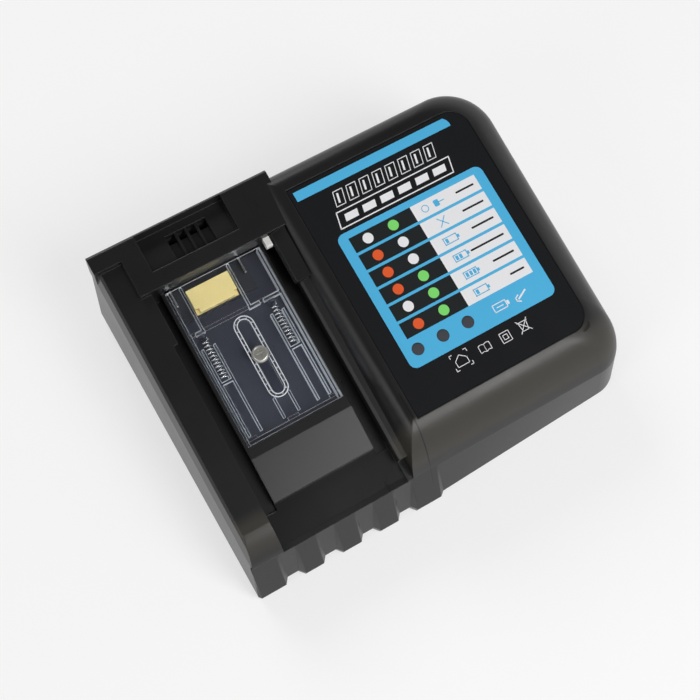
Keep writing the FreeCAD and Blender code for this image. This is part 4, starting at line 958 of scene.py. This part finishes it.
class CHARGER_OT_stage(bpy.types.Operator):
    """Set the floor, the soft lamps, the sky and the camera"""
    bl_idname = "charger.stage"
    bl_label = "Stage"

    def execute(self, context):
        scene = context.scene
        settings = scene.charger_stage
        self.floor(settings)
        self.sky(scene, settings)
        powers = {"key": settings.key_power, "fill": settings.fill_power, "sheen": settings.sheen_power}
        for name, power in powers.items():
            self.lamp(name, *STUDIO_LAMPS[name], power)
        camera_data = bpy.data.cameras.new("camera")
        camera_data.lens = settings.lens
        camera_data.sensor_width = 36.0
        camera_data.clip_start = 0.01
        camera = bpy.data.objects.new("camera", camera_data)
        scene.collection.objects.link(camera)
        camera.location = CAMERA_PLACE
        camera.rotation_euler = [math.radians(turn) for turn in CAMERA_TURN]
        scene.camera = camera
        scene.view_settings.view_transform = "Standard"
        return {"FINISHED"}

    def floor(self, settings):
        """White paper on which the object stands, seen as plain white as far as the lift says."""
        reach = FLOOR_REACH
        corners = [(-reach, -reach, 0), (reach, -reach, 0), (reach, reach, 0), (-reach, reach, 0)]
        mesh = bpy.data.meshes.new("studio_floor")
        mesh.from_pydata(corners, [], [(0, 1, 2, 3)])
        floor = bpy.data.objects.new("studio_floor", mesh)
        bpy.context.scene.collection.objects.link(floor)
        finish = Finish("studio_paper")
        fibre = finish.noise(900.0, 3.0)
        tone = finish.tint(scaled(settings.floor_colour, 0.99), settings.floor_colour, fibre)
        paper = finish.add("ShaderNodeBsdfPrincipled", None,
                           {"Base Color": tone, "Roughness": 0.85, "Specular IOR Level": 0.1})
        white = finish.add("ShaderNodeEmission", None, {"Color": WHITE, "Strength": 1.0})
        share = finish.background_rays() * settings.floor_lift
        lifted = finish.add("ShaderNodeMixShader", None, {0: share, 1: paper, 2: white})
        mesh.materials.append(finish.ended(lifted))

    def lamp(self, name, place, aim, width, height, power):
        data = bpy.data.lights.new(name, "AREA")
        data.shape = "RECTANGLE"
        data.size = width
        data.size_y = height
        data.energy = power
        lamp = bpy.data.objects.new(name, data)
        bpy.context.scene.collection.objects.link(lamp)
        lamp.location = place
        lamp.rotation_euler = (Vector(aim) - Vector(place)).to_track_quat("-Z", "Y").to_euler()

    def sky(self, scene, settings):
        """Plain white to the camera; to mirrors and matt faces it is dimmer straight above."""
        finish = Finish("studio_sky", "worlds", "Generated")
        up = finish.xyz()[2]
        level = finish.add("ShaderNodeMapRange", {"interpolation_type": "SMOOTHSTEP"},
                           {"Value": up, "From Min": 0.25, "From Max": 0.8, "To Min": 1.0,
                            "To Max": settings.ceiling})
        lit = level * settings.sky_level
        shown = finish.add("ShaderNodeMix", None, {0: finish.background_rays(), 2: lit, 3: level})
        camera = finish.add("ShaderNodeLightPath", out="Is Camera Ray")
        plain = finish.add("ShaderNodeMix", None, {0: camera, 2: shown, 3: 1.0})
        background = finish.add("ShaderNodeBackground", None, {"Color": WHITE, "Strength": plain})
        scene.world = finish.ended(background, "ShaderNodeOutputWorld")


STEPS = (CHARGER_OT_stage, CHARGER_OT_case, CHARGER_OT_bay, CHARGER_OT_springs, CHARGER_OT_slot_rim,
         CHARGER_OT_label, CHARGER_OT_panel_symbols, CHARGER_OT_inside)


class CHARGER_PT_sidebar(bpy.types.Panel):
    """Sizes, colours and steps of the charger"""
    bl_idname = "CHARGER_PT_sidebar"
    bl_label = "Battery charger"
    bl_space_type = "VIEW_3D"
    bl_region_type = "UI"
    bl_category = "Charger"

    def draw(self, context):
        for name in GROUPS:
            group = getattr(context.scene, name)
            column = self.layout.column(align=True)
            for key in group.bl_rna.properties.keys():
                if key not in ("rna_type", "name"):
                    column.prop(group, key)
        for step in STEPS:
            self.layout.operator(step.bl_idname)


GROUPS = {"charger_case": CHARGER_PG_case, "charger_bay": CHARGER_PG_bay,
          "charger_print": CHARGER_PG_print, "charger_stage": CHARGER_PG_stage}


def register():
    for name, group in GROUPS.items():
        bpy.utils.register_class(group)
        setattr(bpy.types.Scene, name, PointerProperty(type=group))
    for made in STEPS + (CHARGER_PT_sidebar,):
        bpy.utils.register_class(made)


def unregister():
    for made in reversed(STEPS + (CHARGER_PT_sidebar,)):
        bpy.utils.unregister_class(made)
    for name, group in GROUPS.items():
        delattr(bpy.types.Scene, name)
        bpy.utils.unregister_class(group)


def main():
    register()
    for step in STEPS:
        getattr(bpy.ops.charger, step.bl_idname.split(".")[1])()


if __name__ == "__main__":
    main()
